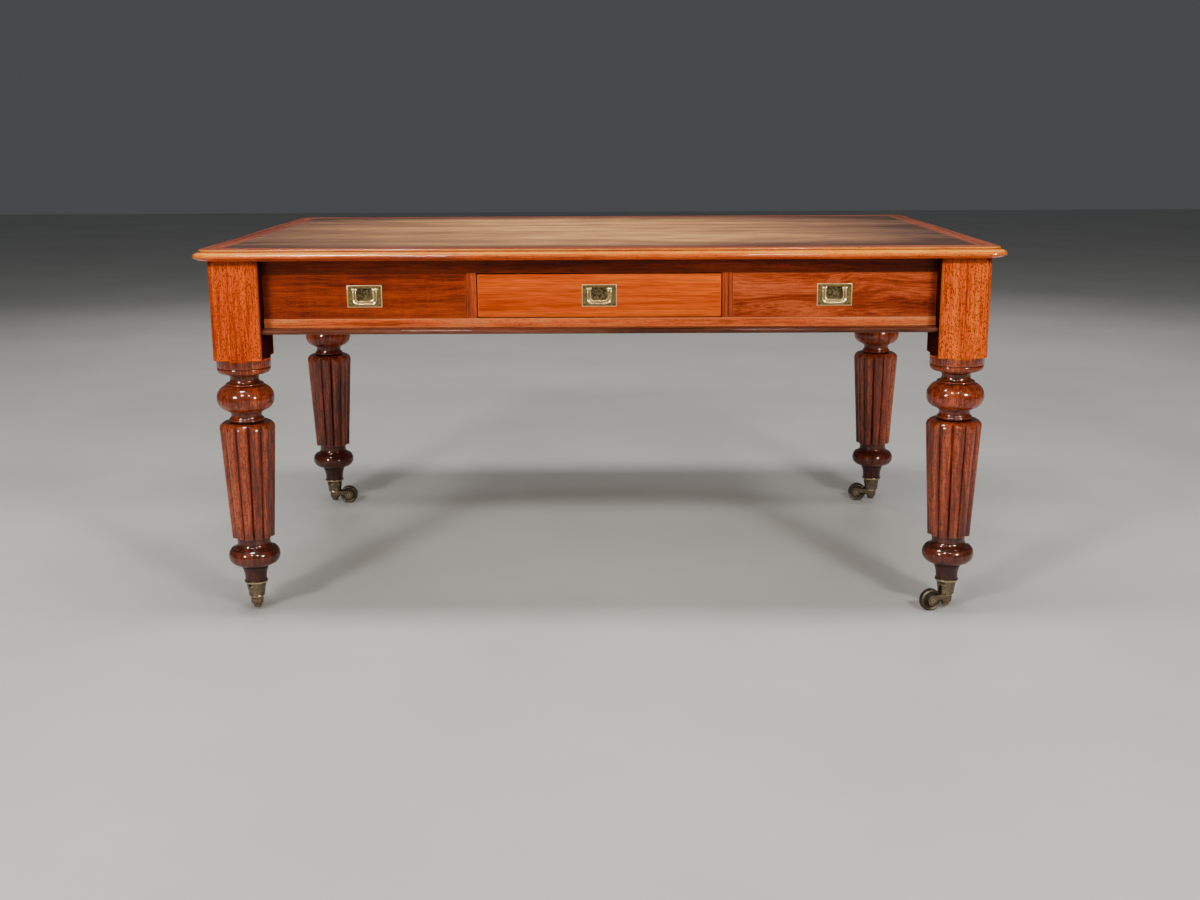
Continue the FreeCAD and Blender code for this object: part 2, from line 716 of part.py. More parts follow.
def drawer(name, opening, gap):
    """Front and box boards of one drawer for an opening of the given width."""
    outer = f"({opening} / 2 - {gap})"
    inner = f"({outer} - Sizes.side_thickness)"
    panel_x = f"({inner} + Sizes.groove_depth)"
    panel_top = "(Sizes.bottom_lift + Sizes.bottom_thickness)"
    bottom = board(
        f"{name}_bottom",
        (f"-{panel_x}", panel_x),
        ("Sizes.front_thickness - Sizes.groove_depth", drawer_length),
        ("Sizes.bottom_lift", panel_top),
    )
    sides = [drawer_side(f"{name}_side_x{sign + 1}", sign, outer, bottom) for sign in (-1, 1)]
    back = board(
        f"{name}_back",
        (f"-{inner}", inner),
        (f"{drawer_length} - Sizes.side_thickness", drawer_length),
        (panel_top, f"{panel_top} + Sizes.back_height"),
    )
    face = board(
        f"{name}_face",
        (f"-{outer}", outer),
        ("0", "Sizes.front_thickness"),
        (gap, f"Sizes.opening_height - {gap}"),
    )
    front = cut(f"{name}_front", face, [bottom, *sides, plate_bed, pan_bed, *screws])
    return front, [*sides, back, bottom]


centre_drawer = drawer("centre_drawer", "Sizes.centre_opening", "Sizes.centre_gap")
flank_drawer = drawer("flank_drawer", flank_opening, "Sizes.flank_gap")
drawer_kinds = {"left": flank_drawer, "centre": centre_drawer, "right": flank_drawer}
for row, face_line, turn in (("front", f"-{frieze_y}", no_turn), ("back", frieze_y, half_turn)):
    for column, middle in drawer_middles.items():
        front, box = drawer_kinds[column]
        base = (middle, face_line, runner_top)
        node(f"drawer_front_{row}_{column}", [front], base, turn)
        node(f"drawer_box_{row}_{column}", box, base, turn)
        node(f"handle_plate_{row}_{column}", [handle_plate, *screws], base, turn)
        node(f"bail_handle_{row}_{column}", [bail], base, turn)

# Cup castors, in a frame on the floor under the leg's axis, trailing along +X.
cup_under = "(Sizes.castor_height - Sizes.cup_height)"
cup_floor = f"({cup_under} + Sizes.cup_base)"
lip_low = "(Sizes.castor_height - Sizes.cup_lip_height)"
bead_radius = "(Sizes.cup_base_radius + Sizes.cup_bead)"
bead_top = f"({cup_under} + 2 * Sizes.cup_bead)"
stem_bore = "(Sizes.stem_radius + Sizes.stem_clearance)"
cup_blank = turned("cup_blank", [
    (stem_bore, cup_under),
    (bead_radius, cup_under),
    (bead_radius, bead_top),
    ("Sizes.cup_base_radius", bead_top),
    ("Sizes.cup_top_radius", lip_low),
    ("Sizes.cup_lip_radius", lip_low),
    ("Sizes.cup_lip_radius", "Sizes.castor_height"),
    ("Sizes.cup_top_radius - Sizes.cup_wall", "Sizes.castor_height"),
    ("Sizes.cup_base_radius - Sizes.cup_wall", cup_floor),
    (stem_bore, cup_floor),
])
cup_screws = []
outer_end = "(Sizes.cup_top_radius + Sizes.cup_screw_proud)"
for sign in (-1, 1):
    screw_run = span(sign, f"{outer_end} - Sizes.cup_screw_length", outer_end)
    start = (screw_run[0], "0", "Sizes.castor_height - Sizes.cup_screw_drop")
    cup_screw = rod(
        f"cup_screw_x{sign + 1}", "Sizes.cup_screw_radius", "Sizes.cup_screw_length", start, "x"
    )
    cup_screws.append(cup_screw)
cup = cut("cup", cup_blank, cup_screws)

hub_low = f"({cup_under} - Sizes.hub_height)"
hub_shoulder_share = 0.6
hub = turned("hub", [
    ("0", hub_low),
    ("Sizes.hub_foot_radius", hub_low),
    ("Sizes.hub_radius", f"{hub_low} + Sizes.hub_height * {hub_shoulder_share}"),
    ("Sizes.hub_radius", cup_under),
    ("Sizes.stem_radius", cup_under),
    ("Sizes.stem_radius", f"{cup_under} + Sizes.stem_length"),
    ("0", f"{cup_under} + Sizes.stem_length"),
])
soften(hub, "hub_foot", "Sizes.hub_rounding", level(hub.Shape.BoundBox.ZMin))
axle_z = "Sizes.wheel_radius"
cheek_near = "(Sizes.wheel_width / 2 + Sizes.wheel_gap)"
cheek_far = f"({cheek_near} + Sizes.cheek_thickness)"
horn_pieces = [hub]
for sign in (-1, 1):
    across = span(sign, cheek_near, cheek_far)
    arm_tall = (axle_z, f"{axle_z} + Sizes.cheek_radius")
    start = ("Sizes.castor_trail", across[0], axle_z)
    horn_pieces.append(board(f"horn_arm_y{sign + 1}", ("0", "Sizes.castor_trail"), across, arm_tall))
    horn_pieces.append(
        rod(f"horn_cheek_y{sign + 1}", "Sizes.cheek_radius", "Sizes.cheek_thickness", start, "y")
    )
room_start = ("Sizes.castor_trail", f"-{cheek_near}", axle_z)
room_radius = "Sizes.wheel_radius + Sizes.wheel_clearance"
wheel_room = rod("wheel_room", room_radius, f"2 * {cheek_near}", room_start, "y")
pin_start = ("Sizes.castor_trail", f"-{cheek_far}", axle_z)
axle_pin = rod("axle_pin", "Sizes.axle_radius", f"2 * {cheek_far}", pin_start, "y")
axle_pieces = [axle_pin]
for sign in (-1, 1):
    head_run = span(sign, cheek_far, f"{cheek_far} + Sizes.axle_head_height")
    start = ("Sizes.castor_trail", head_run[0], axle_z)
    axle_pieces.append(
        rod(f"axle_head_y{sign + 1}", "Sizes.axle_head_radius", "Sizes.axle_head_height", start, "y")
    )
axle = fuse("axle", axle_pieces)
horn = cut("horn", fuse("horn_blank", horn_pieces), [wheel_room, axle_pin])

wheel_bore = "(Sizes.axle_radius + Sizes.axle_clearance)"
wheel_x = "(Sizes.wheel_width / 2)"
dish_x = f"({wheel_x} - Sizes.wheel_dish)"
dish_inner_share, dish_outer_share = 0.15, 0.6
dish_room = "(Sizes.wheel_radius - Sizes.wheel_boss_radius)"
dish_in = f"(Sizes.wheel_boss_radius + {dish_room} * {dish_inner_share})"
dish_out = f"(Sizes.wheel_boss_radius + {dish_room} * {dish_outer_share})"
wheel = turned("wheel", [
    (wheel_bore, f"-{wheel_x}"),
    ("Sizes.wheel_boss_radius", f"-{wheel_x}"),
    (dish_in, f"-{dish_x}"),
    (dish_out, f"-{dish_x}"),
    ("Sizes.wheel_radius - Sizes.wheel_rounding", f"-{wheel_x}"),
    ("Sizes.wheel_radius", f"-({wheel_x} - Sizes.wheel_rounding)"),
    ("Sizes.wheel_radius", f"{wheel_x} - Sizes.wheel_rounding"),
    ("Sizes.wheel_radius - Sizes.wheel_rounding", wheel_x),
    (dish_out, dish_x),
    (dish_in, dish_x),
    ("Sizes.wheel_boss_radius", wheel_x),
    (wheel_bore, wheel_x),
])
wheel.Placement = Placement(Vector(), Rotation(Vector(1, 0, 0), 90))
wheel.setExpression("Placement.Base.x", "Sizes.castor_trail")
wheel.setExpression("Placement.Base.z", axle_z)

corners = {
    "front_left": (f"-{leg_x}", f"-{leg_y}"),
    "front_right": (leg_x, f"-{leg_y}"),
    "back_left": (f"-{leg_x}", leg_y),
    "back_right": (leg_x, leg_y),
}
cups, all_cup_screws = [], []
for corner, place in corners.items():
    base = (*place, "0")
    cups.append(placed(f"cup_{corner}", [cup], base, "Sizes.cup_screw_turn"))
    all_cup_screws.append(placed(f"cup_screws_{corner}", cup_screws, base, "Sizes.cup_screw_turn"))
    for name, piece in (("horn", horn), ("axle", axle), ("wheel", wheel)):
        node(f"castor_{name}_{corner}", [piece], base, f"Sizes.turn_{corner}")
node("castor_cups", cups)
node("cup_screws", all_cup_screws)


# Legs: a square block above a column turned from shares of its mouldings' heights and radii.
# Each step of a table is one straight run to a point, or an arc through a first point to a second.
upper_turning_shares = (
    ((0.133, 0.94),),
    ((0.133, 0.895),),
    ((0.148, 0.895),),
    ((0.148, 0.92),),
    ((0.185, 0.925), (0.235, 0.76)),
    ((0.235, 0.63),),
    ((0.252, 0.63),),
    ((0.252, 0.565),),
    ((0.325, 0.50), (0.392, 0.56)),
    ((0.392, 0.625),),
    ((0.406, 0.655), (0.42, 0.635)),
    ((0.49, 0.885), (0.636, 1.0)),
    ((0.77, 0.875), (0.818, 0.66)),
    ((0.818, 0.61),),
    ((0.838, 0.61),),
    ((0.838, 0.565),),
    ((0.89, 0.535), (0.94, 0.565)),
    ((0.94, 0.585),),
    ((0.97, 0.615), (1.0, 0.585)),
)
foot_shares = (
    ((0.17, 0.64),),
    ((0.30, 0.69), (0.36, 0.82)),
    ((0.385, 0.82),),
    ((0.385, 0.87),),
    ((0.60, 1.0), (0.90, 0.76)),
    ((0.91, 0.56),),
    ((0.955, 0.56),),
    ((0.955, 0.49),),
    ((1.0, 0.49),),
)
collar_share, foot_neck_share = 0.94, 0.64
shoulder_arc_share, shoulder_rise_share = 0.74, 0.80
toe_waist_share = 0.46
reed_arc_shares = (-0.5, 0.0, 0.5)

cup_inner_top = size("cup_top_radius") - size("cup_wall") - size("cup_fit")
cup_inner_low = size("cup_base_radius") - size("cup_wall") - size("cup_fit")
spigot_low = size("castor_height") - size("cup_height") + size("cup_base") + size("cup_fit")
toe_low = size("castor_height")
toe_top = toe_low + size("toe_height")
shaft_low = toe_top + size("foot_height")
block_low = size("desk_height") - size("top_thickness") - size("block_height")
neck_low = block_low - size("upper_turning_height")
shaft_top = neck_low - size("shoulder_height")


def at(radius, height):
    return Vector(radius, 0, height)


def follow(start, steps):
    """Edges of a turned outline through straight runs and arcs."""
    edges = []
    for step in steps:
        if len(step) == 1:
            edges.append(Part.LineSegment(start, step[0]).toShape())
        else:
            edges.append(Part.Arc(start, step[0], step[1]).toShape())
        start = step[-1]
    return edges


def scaled(shares, top, height, radius):
    return [[at(across * radius, top - drop * height) for drop, across in step] for step in shares]


def spun(edges):
    return Part.Face(Part.Wire(edges)).revolve(Vector(), Vector(0, 0, 1), 360)


def reeded_ring(radius, depth, height):
    """Closed ring of round reeds, with a reed on each axis of the plan."""
    pitch = 2 * math.pi / reed_count
    edges = []
    for index in range(reed_count):
        points = []
        for share, reach in zip(reed_arc_shares, (radius - depth, radius, radius - depth)):
            angle = pitch * (index + share)
            points.append(Vector(reach * math.cos(angle), reach * math.sin(angle), height))
        edges.append(Part.Arc(*points).toShape())
    return Part.Wire(edges)


def turned_column():
    """Turnings above the shaft, the reeded shaft and the turned foot with its spigot, as one solid."""
    bun, collar = size("bun_radius"), size("bun_radius") * collar_share
    neck = bun * upper_turning_shares[-1][-1][1]
    upper_steps = [
        [at(collar, block_low)],
        *scaled(upper_turning_shares, block_low, size("upper_turning_height"), bun),
        [at(0, neck_low)],
        [at(0, block_low)],
    ]
    upper = spun(follow(at(0, block_low), upper_steps))

    top_radius, low_radius = size("shaft_top_radius"), size("shaft_foot_radius")
    taper = (top_radius - low_radius) / (shaft_top - shaft_low)
    crown_radius = top_radius + taper * size("shoulder_height")
    deep = size("reed_depth")
    rings = [
        reeded_ring(low_radius, deep * low_radius / top_radius, shaft_low),
        reeded_ring(crown_radius, deep * crown_radius / top_radius, neck_low),
    ]
    shoulder_radius = neck + (top_radius - neck) * shoulder_arc_share
    shoulder_height = shaft_top + size("shoulder_height") * shoulder_rise_share
    envelope_steps = [
        [at(neck, neck_low)],
        [at(shoulder_radius, shoulder_height), at(top_radius, shaft_top)],
        [at(top_radius, shaft_low)],
        [at(0, shaft_low)],
        [at(0, neck_low)],
    ]
    shaft = Part.makeLoft(rings, True, True).common(spun(follow(at(0, neck_low), envelope_steps)))

    toe_mid = (size("toe_radius") + size("toe_foot_radius")) * toe_waist_share
    foot_steps = [
        [at(size("foot_radius") * foot_neck_share, shaft_low)],
        *scaled(foot_shares, shaft_low, size("foot_height"), size("foot_radius")),
        [at(size("toe_radius"), toe_top)],
        [at(toe_mid, (toe_top + toe_low) / 2), at(size("toe_foot_radius"), toe_low)],
        [at(cup_inner_top, toe_low)],
        [at(cup_inner_low, spigot_low)],
        [at(0, spigot_low)],
        [at(0, shaft_low)],
    ]
    foot = spun(follow(at(0, shaft_low), foot_steps))
    return upper.fuse([shaft, foot]).removeSplitter()


column_blank = doc.addObject("Part::Feature", "column_blank")
column_blank.Shape = turned_column()
stem_room_radius = f"{stem_bore} + Sizes.stem_room"
stem_room_length = "Sizes.stem_length + Sizes.stem_room"
stem_room = rod("stem_hole", stem_room_radius, stem_room_length, ("0", "0", cup_under))
column = cut("column", column_blank, [stem_room, *cup_screws])

block_plan = doc.addObject("PartDesign::Body", "block_plan")
plan_corners = rectangle(f"-{block_out_x}", block_out_x, f"-{block_out_y}", block_out_y)
block_outline = outline(block_plan, "block_outline", "XY_Plane", plan_corners, lift=block_under)
pad(block_plan, "block_slab", block_outline, "Sizes.block_height")
soften(block_plan, "block_corners", "Sizes.block_corner", upright)
for x_sign, near_corner, far_corner in ((-1, "front_left", "back_right"), (1, "front_right", "back_left")):
    squared = board(
        f"squared_{near_corner}",
        span(x_sign, block_in_x, block_out_x),
        span(-1, block_in_y, block_out_y),
        (block_under, top_under),
    )
    block = common(f"block_{near_corner}", block_plan, squared)
    base = (*corners[near_corner], "0")
    standing = placed(f"column_{near_corner}", [column], base, "Sizes.cup_screw_turn")
    apron_end = right_apron_tenons[-1] if x_sign > 0 else apron_tenon(-1, -1)
    mortises = [top_tenons[x_sign], bottom_tenons[x_sign], apron_end]
    leg = cut(f"leg_{near_corner}_piece", fuse(f"leg_{near_corner}_blank", [block, standing]), mortises)
    node(f"leg_{near_corner}", [leg])
    node(f"leg_{far_corner}", [leg], turn=half_turn)

doc.recompute()
for item in doc.Objects:
    if "Invalid" in item.State or "Error" in item.State:
        raise RuntimeError(f"{item.Label} failed: {item.State}")
os.makedirs("parts", exist_ok=True)
for part in nodes:
    if part.Shape.isNull() or not part.Shape.isValid():
        raise RuntimeError(f"{part.Label} has no valid shape")
for part in nodes:
    solids = part.Shape.Solids
    finished = solids[0] if len(solids) == 1 else part.Shape
    finished.exportStep(f"parts/{part.Label}.step")
print(len(nodes), "sub-parts written")
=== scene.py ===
import math

import bmesh
import bpy
from mathutils import Matrix, Vector


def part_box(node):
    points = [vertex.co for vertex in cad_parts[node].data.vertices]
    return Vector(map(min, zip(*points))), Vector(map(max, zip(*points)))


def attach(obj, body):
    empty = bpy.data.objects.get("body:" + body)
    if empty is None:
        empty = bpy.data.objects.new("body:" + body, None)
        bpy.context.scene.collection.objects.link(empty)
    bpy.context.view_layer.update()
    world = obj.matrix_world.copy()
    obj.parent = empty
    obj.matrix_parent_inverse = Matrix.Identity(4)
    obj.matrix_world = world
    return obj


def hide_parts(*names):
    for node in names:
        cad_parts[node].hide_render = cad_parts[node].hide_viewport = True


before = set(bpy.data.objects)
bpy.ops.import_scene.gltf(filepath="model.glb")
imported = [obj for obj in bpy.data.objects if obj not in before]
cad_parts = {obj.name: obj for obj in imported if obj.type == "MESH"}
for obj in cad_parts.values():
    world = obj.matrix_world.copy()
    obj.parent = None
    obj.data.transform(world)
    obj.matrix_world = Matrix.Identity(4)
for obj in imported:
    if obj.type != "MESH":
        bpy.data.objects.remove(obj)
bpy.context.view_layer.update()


# Legs: solid mahogany, a squared block above a turned and reeded column on a brass castor.
# The blocks are orange and pitted, the turnings redder with painted shade and dirt in the quirks, and the
# feet nearly black.
# Each leg is turned from one length of wood, which on the left front one is glued up from two boards.
def step(tree, kind, inputs=None, **settings):
    """One step of a finish: a shader node with its settings, and its inputs tied or set."""
    made = tree.nodes.new(kind)
    for key, value in settings.items():
        setattr(made, key, value)
    for socket, source in (inputs or {}).items():
        if isinstance(source, bpy.types.NodeSocket):
            tree.links.new(source, made.inputs[socket])
        else:
            made.inputs[socket].default_value = source
    return made


def ramp(tree, source, stops):
    """Colour or grey level picked along a row of stops."""
    made = step(tree, "ShaderNodeValToRGB", {"Fac": source})
    band = made.color_ramp
    while len(band.elements) < len(stops):
        band.elements.new(1.0)
    for element, (place, tone) in zip(band.elements, stops):
        element.position = place
        element.color = (*tone, 1.0) if isinstance(tone, tuple) else (tone, tone, tone, 1.0)
    return made.outputs["Color"]


def mixed(tree, share, first, second, blend="MIX"):
    """Two colours laid over each other."""
    made = step(tree, "ShaderNodeMix", data_type="RGBA", blend_type=blend)
    ends = {item.identifier: item for item in made.inputs}
    for socket, source in (("Factor_Float", share), ("A_Color", first), ("B_Color", second)):
        if isinstance(source, bpy.types.NodeSocket):
            tree.links.new(source, ends[socket])
        elif isinstance(source, tuple):
            ends[socket].default_value = (*source, 1.0)
        else:
            ends[socket].default_value = source
    return {item.identifier: item for item in made.outputs}["Result_Color"]


def sums(tree, operation, *levels):
    """Arithmetic on levels."""
    return step(tree, "ShaderNodeMath", dict(enumerate(levels)), operation=operation).outputs["Value"]


def times(tree, first, second):
    """One level as a share of another."""
    return sums(tree, "MULTIPLY", first, second)


def less(tree, first, second):
    """One level taken from another."""
    return sums(tree, "SUBTRACT", first, second)


def apart(tree, source, value):
    """Distance of a level from one value."""
    return sums(tree, "ABSOLUTE", less(tree, source, value))


def stretched(tree, place, scale, seed=0.0):
    """Coordinates squeezed along each axis, so that a cloud becomes a streak."""
    shift = (seed, seed * 0.7, seed * 1.3)
    made = step(tree, "ShaderNodeMapping", {"Vector": place, "Location": shift, "Scale": scale})
    return made.outputs["Vector"]


def cloud(tree, place, scale=1.0, detail=4.0, roughness=0.55, distortion=0.0):
    """Soft random level between 0 and 1."""
    settings = {"Scale": scale, "Detail": detail, "Roughness": roughness, "Distortion": distortion}
    return step(tree, "ShaderNodeTexNoise", {"Vector": place, **settings}).outputs["Fac"]


def along(tree, place, axis):
    """Distance along one axis of the desk."""
    return step(tree, "ShaderNodeSeparateXYZ", {"Vector": place}).outputs[axis]


def between(tree, source, low, high):
    """Level that rises from 0 to 1 between two values."""
    made = step(tree, "ShaderNodeMapRange", {"Value": source, "From Min": low, "From Max": high})
    return made.outputs["Result"]


def sheltered(tree, distance, inside=False):
    """Level of open sky over a point: low in corners or, from inside, on sharp edges."""
    made = step(tree, "ShaderNodeAmbientOcclusion", {"Distance": distance}, samples=8, inside=inside)
    return made.outputs["AO"]


def new_finish(name):
    """Material with an empty tree, its shader and the coordinates of the desk."""
    finish = bpy.data.materials.new(name)
    finish.use_nodes = True
    tree = finish.node_tree
    tree.nodes.clear()
    surface = step(tree, "ShaderNodeBsdfPrincipled")
    step(tree, "ShaderNodeOutputMaterial", {"Surface": surface.outputs["BSDF"]})
    place = step(tree, "ShaderNodeTexCoord").outputs["Object"]
    return finish, tree, surface, place


def tie(tree, surface, **inputs):
    """Shader inputs, tied to a step of the finish or set to one value."""
    for name, source in inputs.items():
        socket = surface.inputs[name.replace("_", " ").title().replace("Ior", "IOR")]
        if isinstance(source, bpy.types.NodeSocket):
            tree.links.new(source, socket)
        else:
            socket.default_value = source


def along_grain(grain, lengthwise, across):
    """Squeeze along each axis for a board whose grain runs along one of them."""
    return tuple(lengthwise if axis == grain else across for axis in "xyz")


def mahogany(
    name, grain, zones, seed, figure=0.5, wave=0.02, ripple=0.0, fleck=0.5, pits=0.0, dirt_and_shade=0.7, wear_and_highlight=0.35,
    polish=0.34, spread=1.1, contrast=1.0, pore=62.0, cell=(130.0, 360.0), mitre=None, marks=None,
):
    """French polished mahogany: streaks, figure, dark pores, pits, worn edges with painted highlights, and
    dirt and painted shade in the corners.
    """
    finish, tree, surface, place = new_finish(name)
    laid = mitre(tree, place) if mitre else place

    def streaked(lengthwise, across, shift, *settings):
        """Cloud drawn out along the grain of this board."""
        squeeze = along_grain(grain, lengthwise, across)
        return cloud(tree, stretched(tree, laid, squeeze, seed + shift), 1.0, *settings)

    drift = streaked(2.4, 8.0, 0.0, 2.0)
    aside = times(tree, less(tree, drift, 0.5), wave)
    sway = step(tree, "ShaderNodeCombineXYZ")
    for axis in "XYZ":
        if axis.lower() != grain:
            tree.links.new(aside, sway.inputs[axis])
    swayed = step(tree, "ShaderNodeVectorMath", {0: laid, 1: sway.outputs["Vector"]}, operation="ADD")
    laid = swayed.outputs["Vector"]
    streaks = streaked(2.2, 120.0, 0.0, 5.0, 0.62)
    fibres = streaked(18.0, 420.0, 1.7, 2.0)
    bands = streaked(1.4, 17.0, 3.1, 3.0, 0.5, 0.9)
    level = times(tree, streaks, 1.0 - figure)
    level = sums(tree, "MULTIPLY_ADD", bands, figure, level)
    level = sums(tree, "MULTIPLY_ADD", less(tree, fibres, 0.5), 0.35, level)
    if ripple:
        rolls = streaked(26.0, 4.0, 5.3, 2.0, 0.5, 1.4)
        level = sums(tree, "MULTIPLY_ADD", less(tree, rolls, 0.5), ripple, level)
    colour, gloss = None, None
    half_tone, reach = 0.49, 0.12 / contrast
    for low, high, (dark, middle, light), shine in zones:
        stops = ((half_tone - reach, dark), (half_tone, middle), (half_tone + reach, light))
        shown = ramp(tree, level, stops)
        deepest = tuple(0.15 * tone for tone in dark)
        if colour is None:
            colour, gloss, pale = shown, shine, light
        else:
            rise = between(tree, along(tree, place, "Z"), low, high)
            colour = mixed(tree, rise, colour, shown)
            pale = mixed(tree, rise, pale, light)
            gloss = sums(tree, "ADD", times(tree, less(tree, 1.0, rise), gloss), times(tree, rise, shine))
    pore_mask = between(tree, streaked(pore, 700.0, 0.0, 2.0), 0.55, 0.66)
    colour = mixed(tree, times(tree, pore_mask, fleck), colour, deepest)
    height = sums(tree, "MULTIPLY_ADD", streaks, 0.25, times(tree, pore_mask, -0.5))
    if pits:
        cells = step(
            tree, "ShaderNodeTexVoronoi",
            {"Vector": stretched(tree, laid, along_grain(grain, *cell), seed), "Scale": 1.0},
        )
        patches = cloud(tree, stretched(tree, place, (1.0, 1.0, 1.0), seed), 21.0, 6.0, 0.7)
        chance = sums(tree, "MULTIPLY_ADD", along(tree, cells.outputs["Color"], "X"), 0.8, 0.5)
        span = sums(tree, "MINIMUM", times(tree, times(tree, patches, spread), chance), 0.64)
        pit_mask = between(tree, less(tree, span, cells.outputs["Distance"]), 0.30, 0.38)
        colour = mixed(tree, times(tree, pit_mask, pits), colour, deepest)
        height = sums(tree, "MULTIPLY_ADD", pit_mask, -2.0, height)
    dull = None
    if marks:
        colour, dull = marks(tree, place, colour)
    # Worn edges and painted highlight: sharp edges and the tops of the reeds are lightened towards the pale
    # tone.
    worn_and_highlit = times(tree, between(tree, sheltered(tree, 0.005, inside=True), 0.94, 0.6), wear_and_highlight)
    colour = mixed(tree, worn_and_highlit, colour, pale)
    # Dirt and painted shade: corners, grooves and quirks are darkened by how closed in they are.
    corner_dirt_and_shade = ramp(tree, sheltered(tree, 0.028), ((0.38, 1.0 - dirt_and_shade), (0.90, 1.0)))
    colour = mixed(tree, 1.0, colour, corner_dirt_and_shade, "MULTIPLY")
    worn = cloud(tree, stretched(tree, place, (1.0, 1.0, 1.0), seed), 24.0, 4.0)
    sheen = step(
        tree, "ShaderNodeMapRange",
        {"Value": worn, "From Min": 0.3, "From Max": 0.7, "To Min": polish * 0.8, "To Max": polish * 1.35},
    )
    bump = step(tree, "ShaderNodeBump", {"Height": height, "Strength": 0.16, "Distance": 0.0006})
    tie(tree, surface, base_color=colour, roughness=sheen.outputs["Result"], normal=bump.outputs["Normal"])
    tie(tree, surface, specular_ior_level=0.15, specular_tint=(1.0, 0.52, 0.24, 1.0))
    tie(tree, surface, coat_weight=gloss, coat_roughness=0.05)
    if dull:
        bare = less(tree, 1.0, dull)
        tie(tree, surface, coat_weight=times(tree, bare, gloss))
        tie(tree, surface, specular_ior_level=times(tree, bare, 0.15))
    return finish


def dress(node, finish, edge=0.0, rounds=2):
    """Finish on a piece of the frame, with its sharp edges eased."""
    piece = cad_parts[node]
    for slot in piece.material_slots:
        slot.material = finish
    if edge:
        weld = piece.modifiers.new("weld", "WELD")
        weld.merge_threshold = 1e-5
        ease = piece.modifiers.new("eased_edges", "BEVEL")
        ease.width = edge
        ease.segments = rounds
        ease.limit_method = "ANGLE"
        ease.angle_limit = math.radians(38)
    return piece


corners = {"front_left": (-1, -1), "front_right": (1, -1), "back_left": (-1, 1), "back_right": (1, 1)}
block_inner_x, block_inner_y, block_low = 0.6735, 0.396, 0.538
toe_tones = ((0.012, 0.003, 0.002), (0.035, 0.007, 0.005), (0.075, 0.013, 0.008))
foot_tones = ((0.030, 0.005, 0.003), (0.090, 0.014, 0.007), (0.20, 0.030, 0.012))
column_tones = ((0.040, 0.005, 0.002), (0.235, 0.026, 0.005), (0.52, 0.080, 0.015))
block_tones = {
    "front_left": ((0.37, 0.028, 0.001), (0.81, 0.085, 0.001), (0.98, 0.138, 0.004)),
    "front_right": ((0.45, 0.039, 0.001), (0.95, 0.114, 0.003), (1.0, 0.195, 0.012)),
}
glue_line, foot_quirk = -0.7338, 0.1376
foot_quirk_shade_tone, tick_tone = (0.010, 0.003, 0.002), (0.035, 0.006, 0.002)
inner_shade_and_dirt_tone, crack_tone = (0.020, 0.004, 0.002), (0.02, 0.005, 0.003)
block_pits = {"front_left": 0.9, "front_right": 1.0, "back_left": 0.85, "back_right": 0.9}


def leg_marks(x_sign, y_sign):
    """Painted shade in the quirk of the foot, dark ticks, painted shade and dirt on the inner faces of the
    block, and the left front glue line.
    """
    def laid_on(tree, place, colour):
        above = between(tree, along(tree, place, "Z"), block_low - 0.0005, block_low)
        # Painted shade: a dark line in the quirk of the foot.
        quirk_shade = between(tree, apart(tree, along(tree, place, "Z"), foot_quirk), 0.0016, 0.0005)
        colour = mixed(tree, times(tree, quirk_shade, 0.85), colour, foot_quirk_shade_tone)
        below = less(tree, 1.0, above)
        for across, lengthwise, share, part in ((240.0, 105.0, 0.62, below), (420.0, 120.0, 0.50, above)):
            upright = stretched(tree, place, (across, across, lengthwise), 3.0 * x_sign + y_sign)
            ticks = times(tree, between(tree, cloud(tree, upright, 1.0, 3.0), 0.54, 0.64), part)
            colour = mixed(tree, times(tree, ticks, share), colour, tick_tone)
        dull = None
        # Painted shade and dirt: the inner faces of the block are darkened and lose their gloss.
        for axis, sign, inner in (("X", x_sign, block_inner_x), ("Y", y_sign, block_inner_y)):
            outwards = times(tree, along(tree, place, axis), sign)
            inside = times(tree, between(tree, outwards, inner + 0.004, inner + 0.0005), above)
            colour = mixed(tree, times(tree, inside, 0.95), colour, inner_shade_and_dirt_tone)
            dull = inside if dull is None else sums(tree, "MAXIMUM", dull, inside)
        if (x_sign, y_sign) == (-1, -1):
            sway = sums(tree, "MULTIPLY_ADD", cloud(tree, place, 9.0, 2.0), 0.004, glue_line - 0.002)
            gap = apart(tree, along(tree, place, "X"), sway)
            crack = times(tree, between(tree, gap, 0.0013, 0.0003), above)
            colour = mixed(tree, times(tree, crack, 0.5), colour, crack_tone)
        return colour, dull
    return laid_on


for index, (corner, signs) in enumerate(corners.items()):
    leg_zones = (
        (0.0, 0.0, toe_tones, 0.6), (0.095, 0.105, foot_tones, 0.8), (0.15, 0.19, column_tones, 0.8),
        (0.533, 0.5375, block_tones.get(corner, block_tones["front_left"]), 0.10),
    )
    leg_finish = mahogany(
        f"leg_{corner}_polish", "z", leg_zones, 2.0 + 3.7 * index, figure=0.42, fleck=0.6,
        pits=block_pits[corner], dirt_and_shade=0.92, wear_and_highlight=0.4, polish=0.36, spread=1.5, cell=(190.0, 320.0),
        marks=leg_marks(*signs),
    )
    dress(f"leg_{corner}", leg_finish, 0.0006)

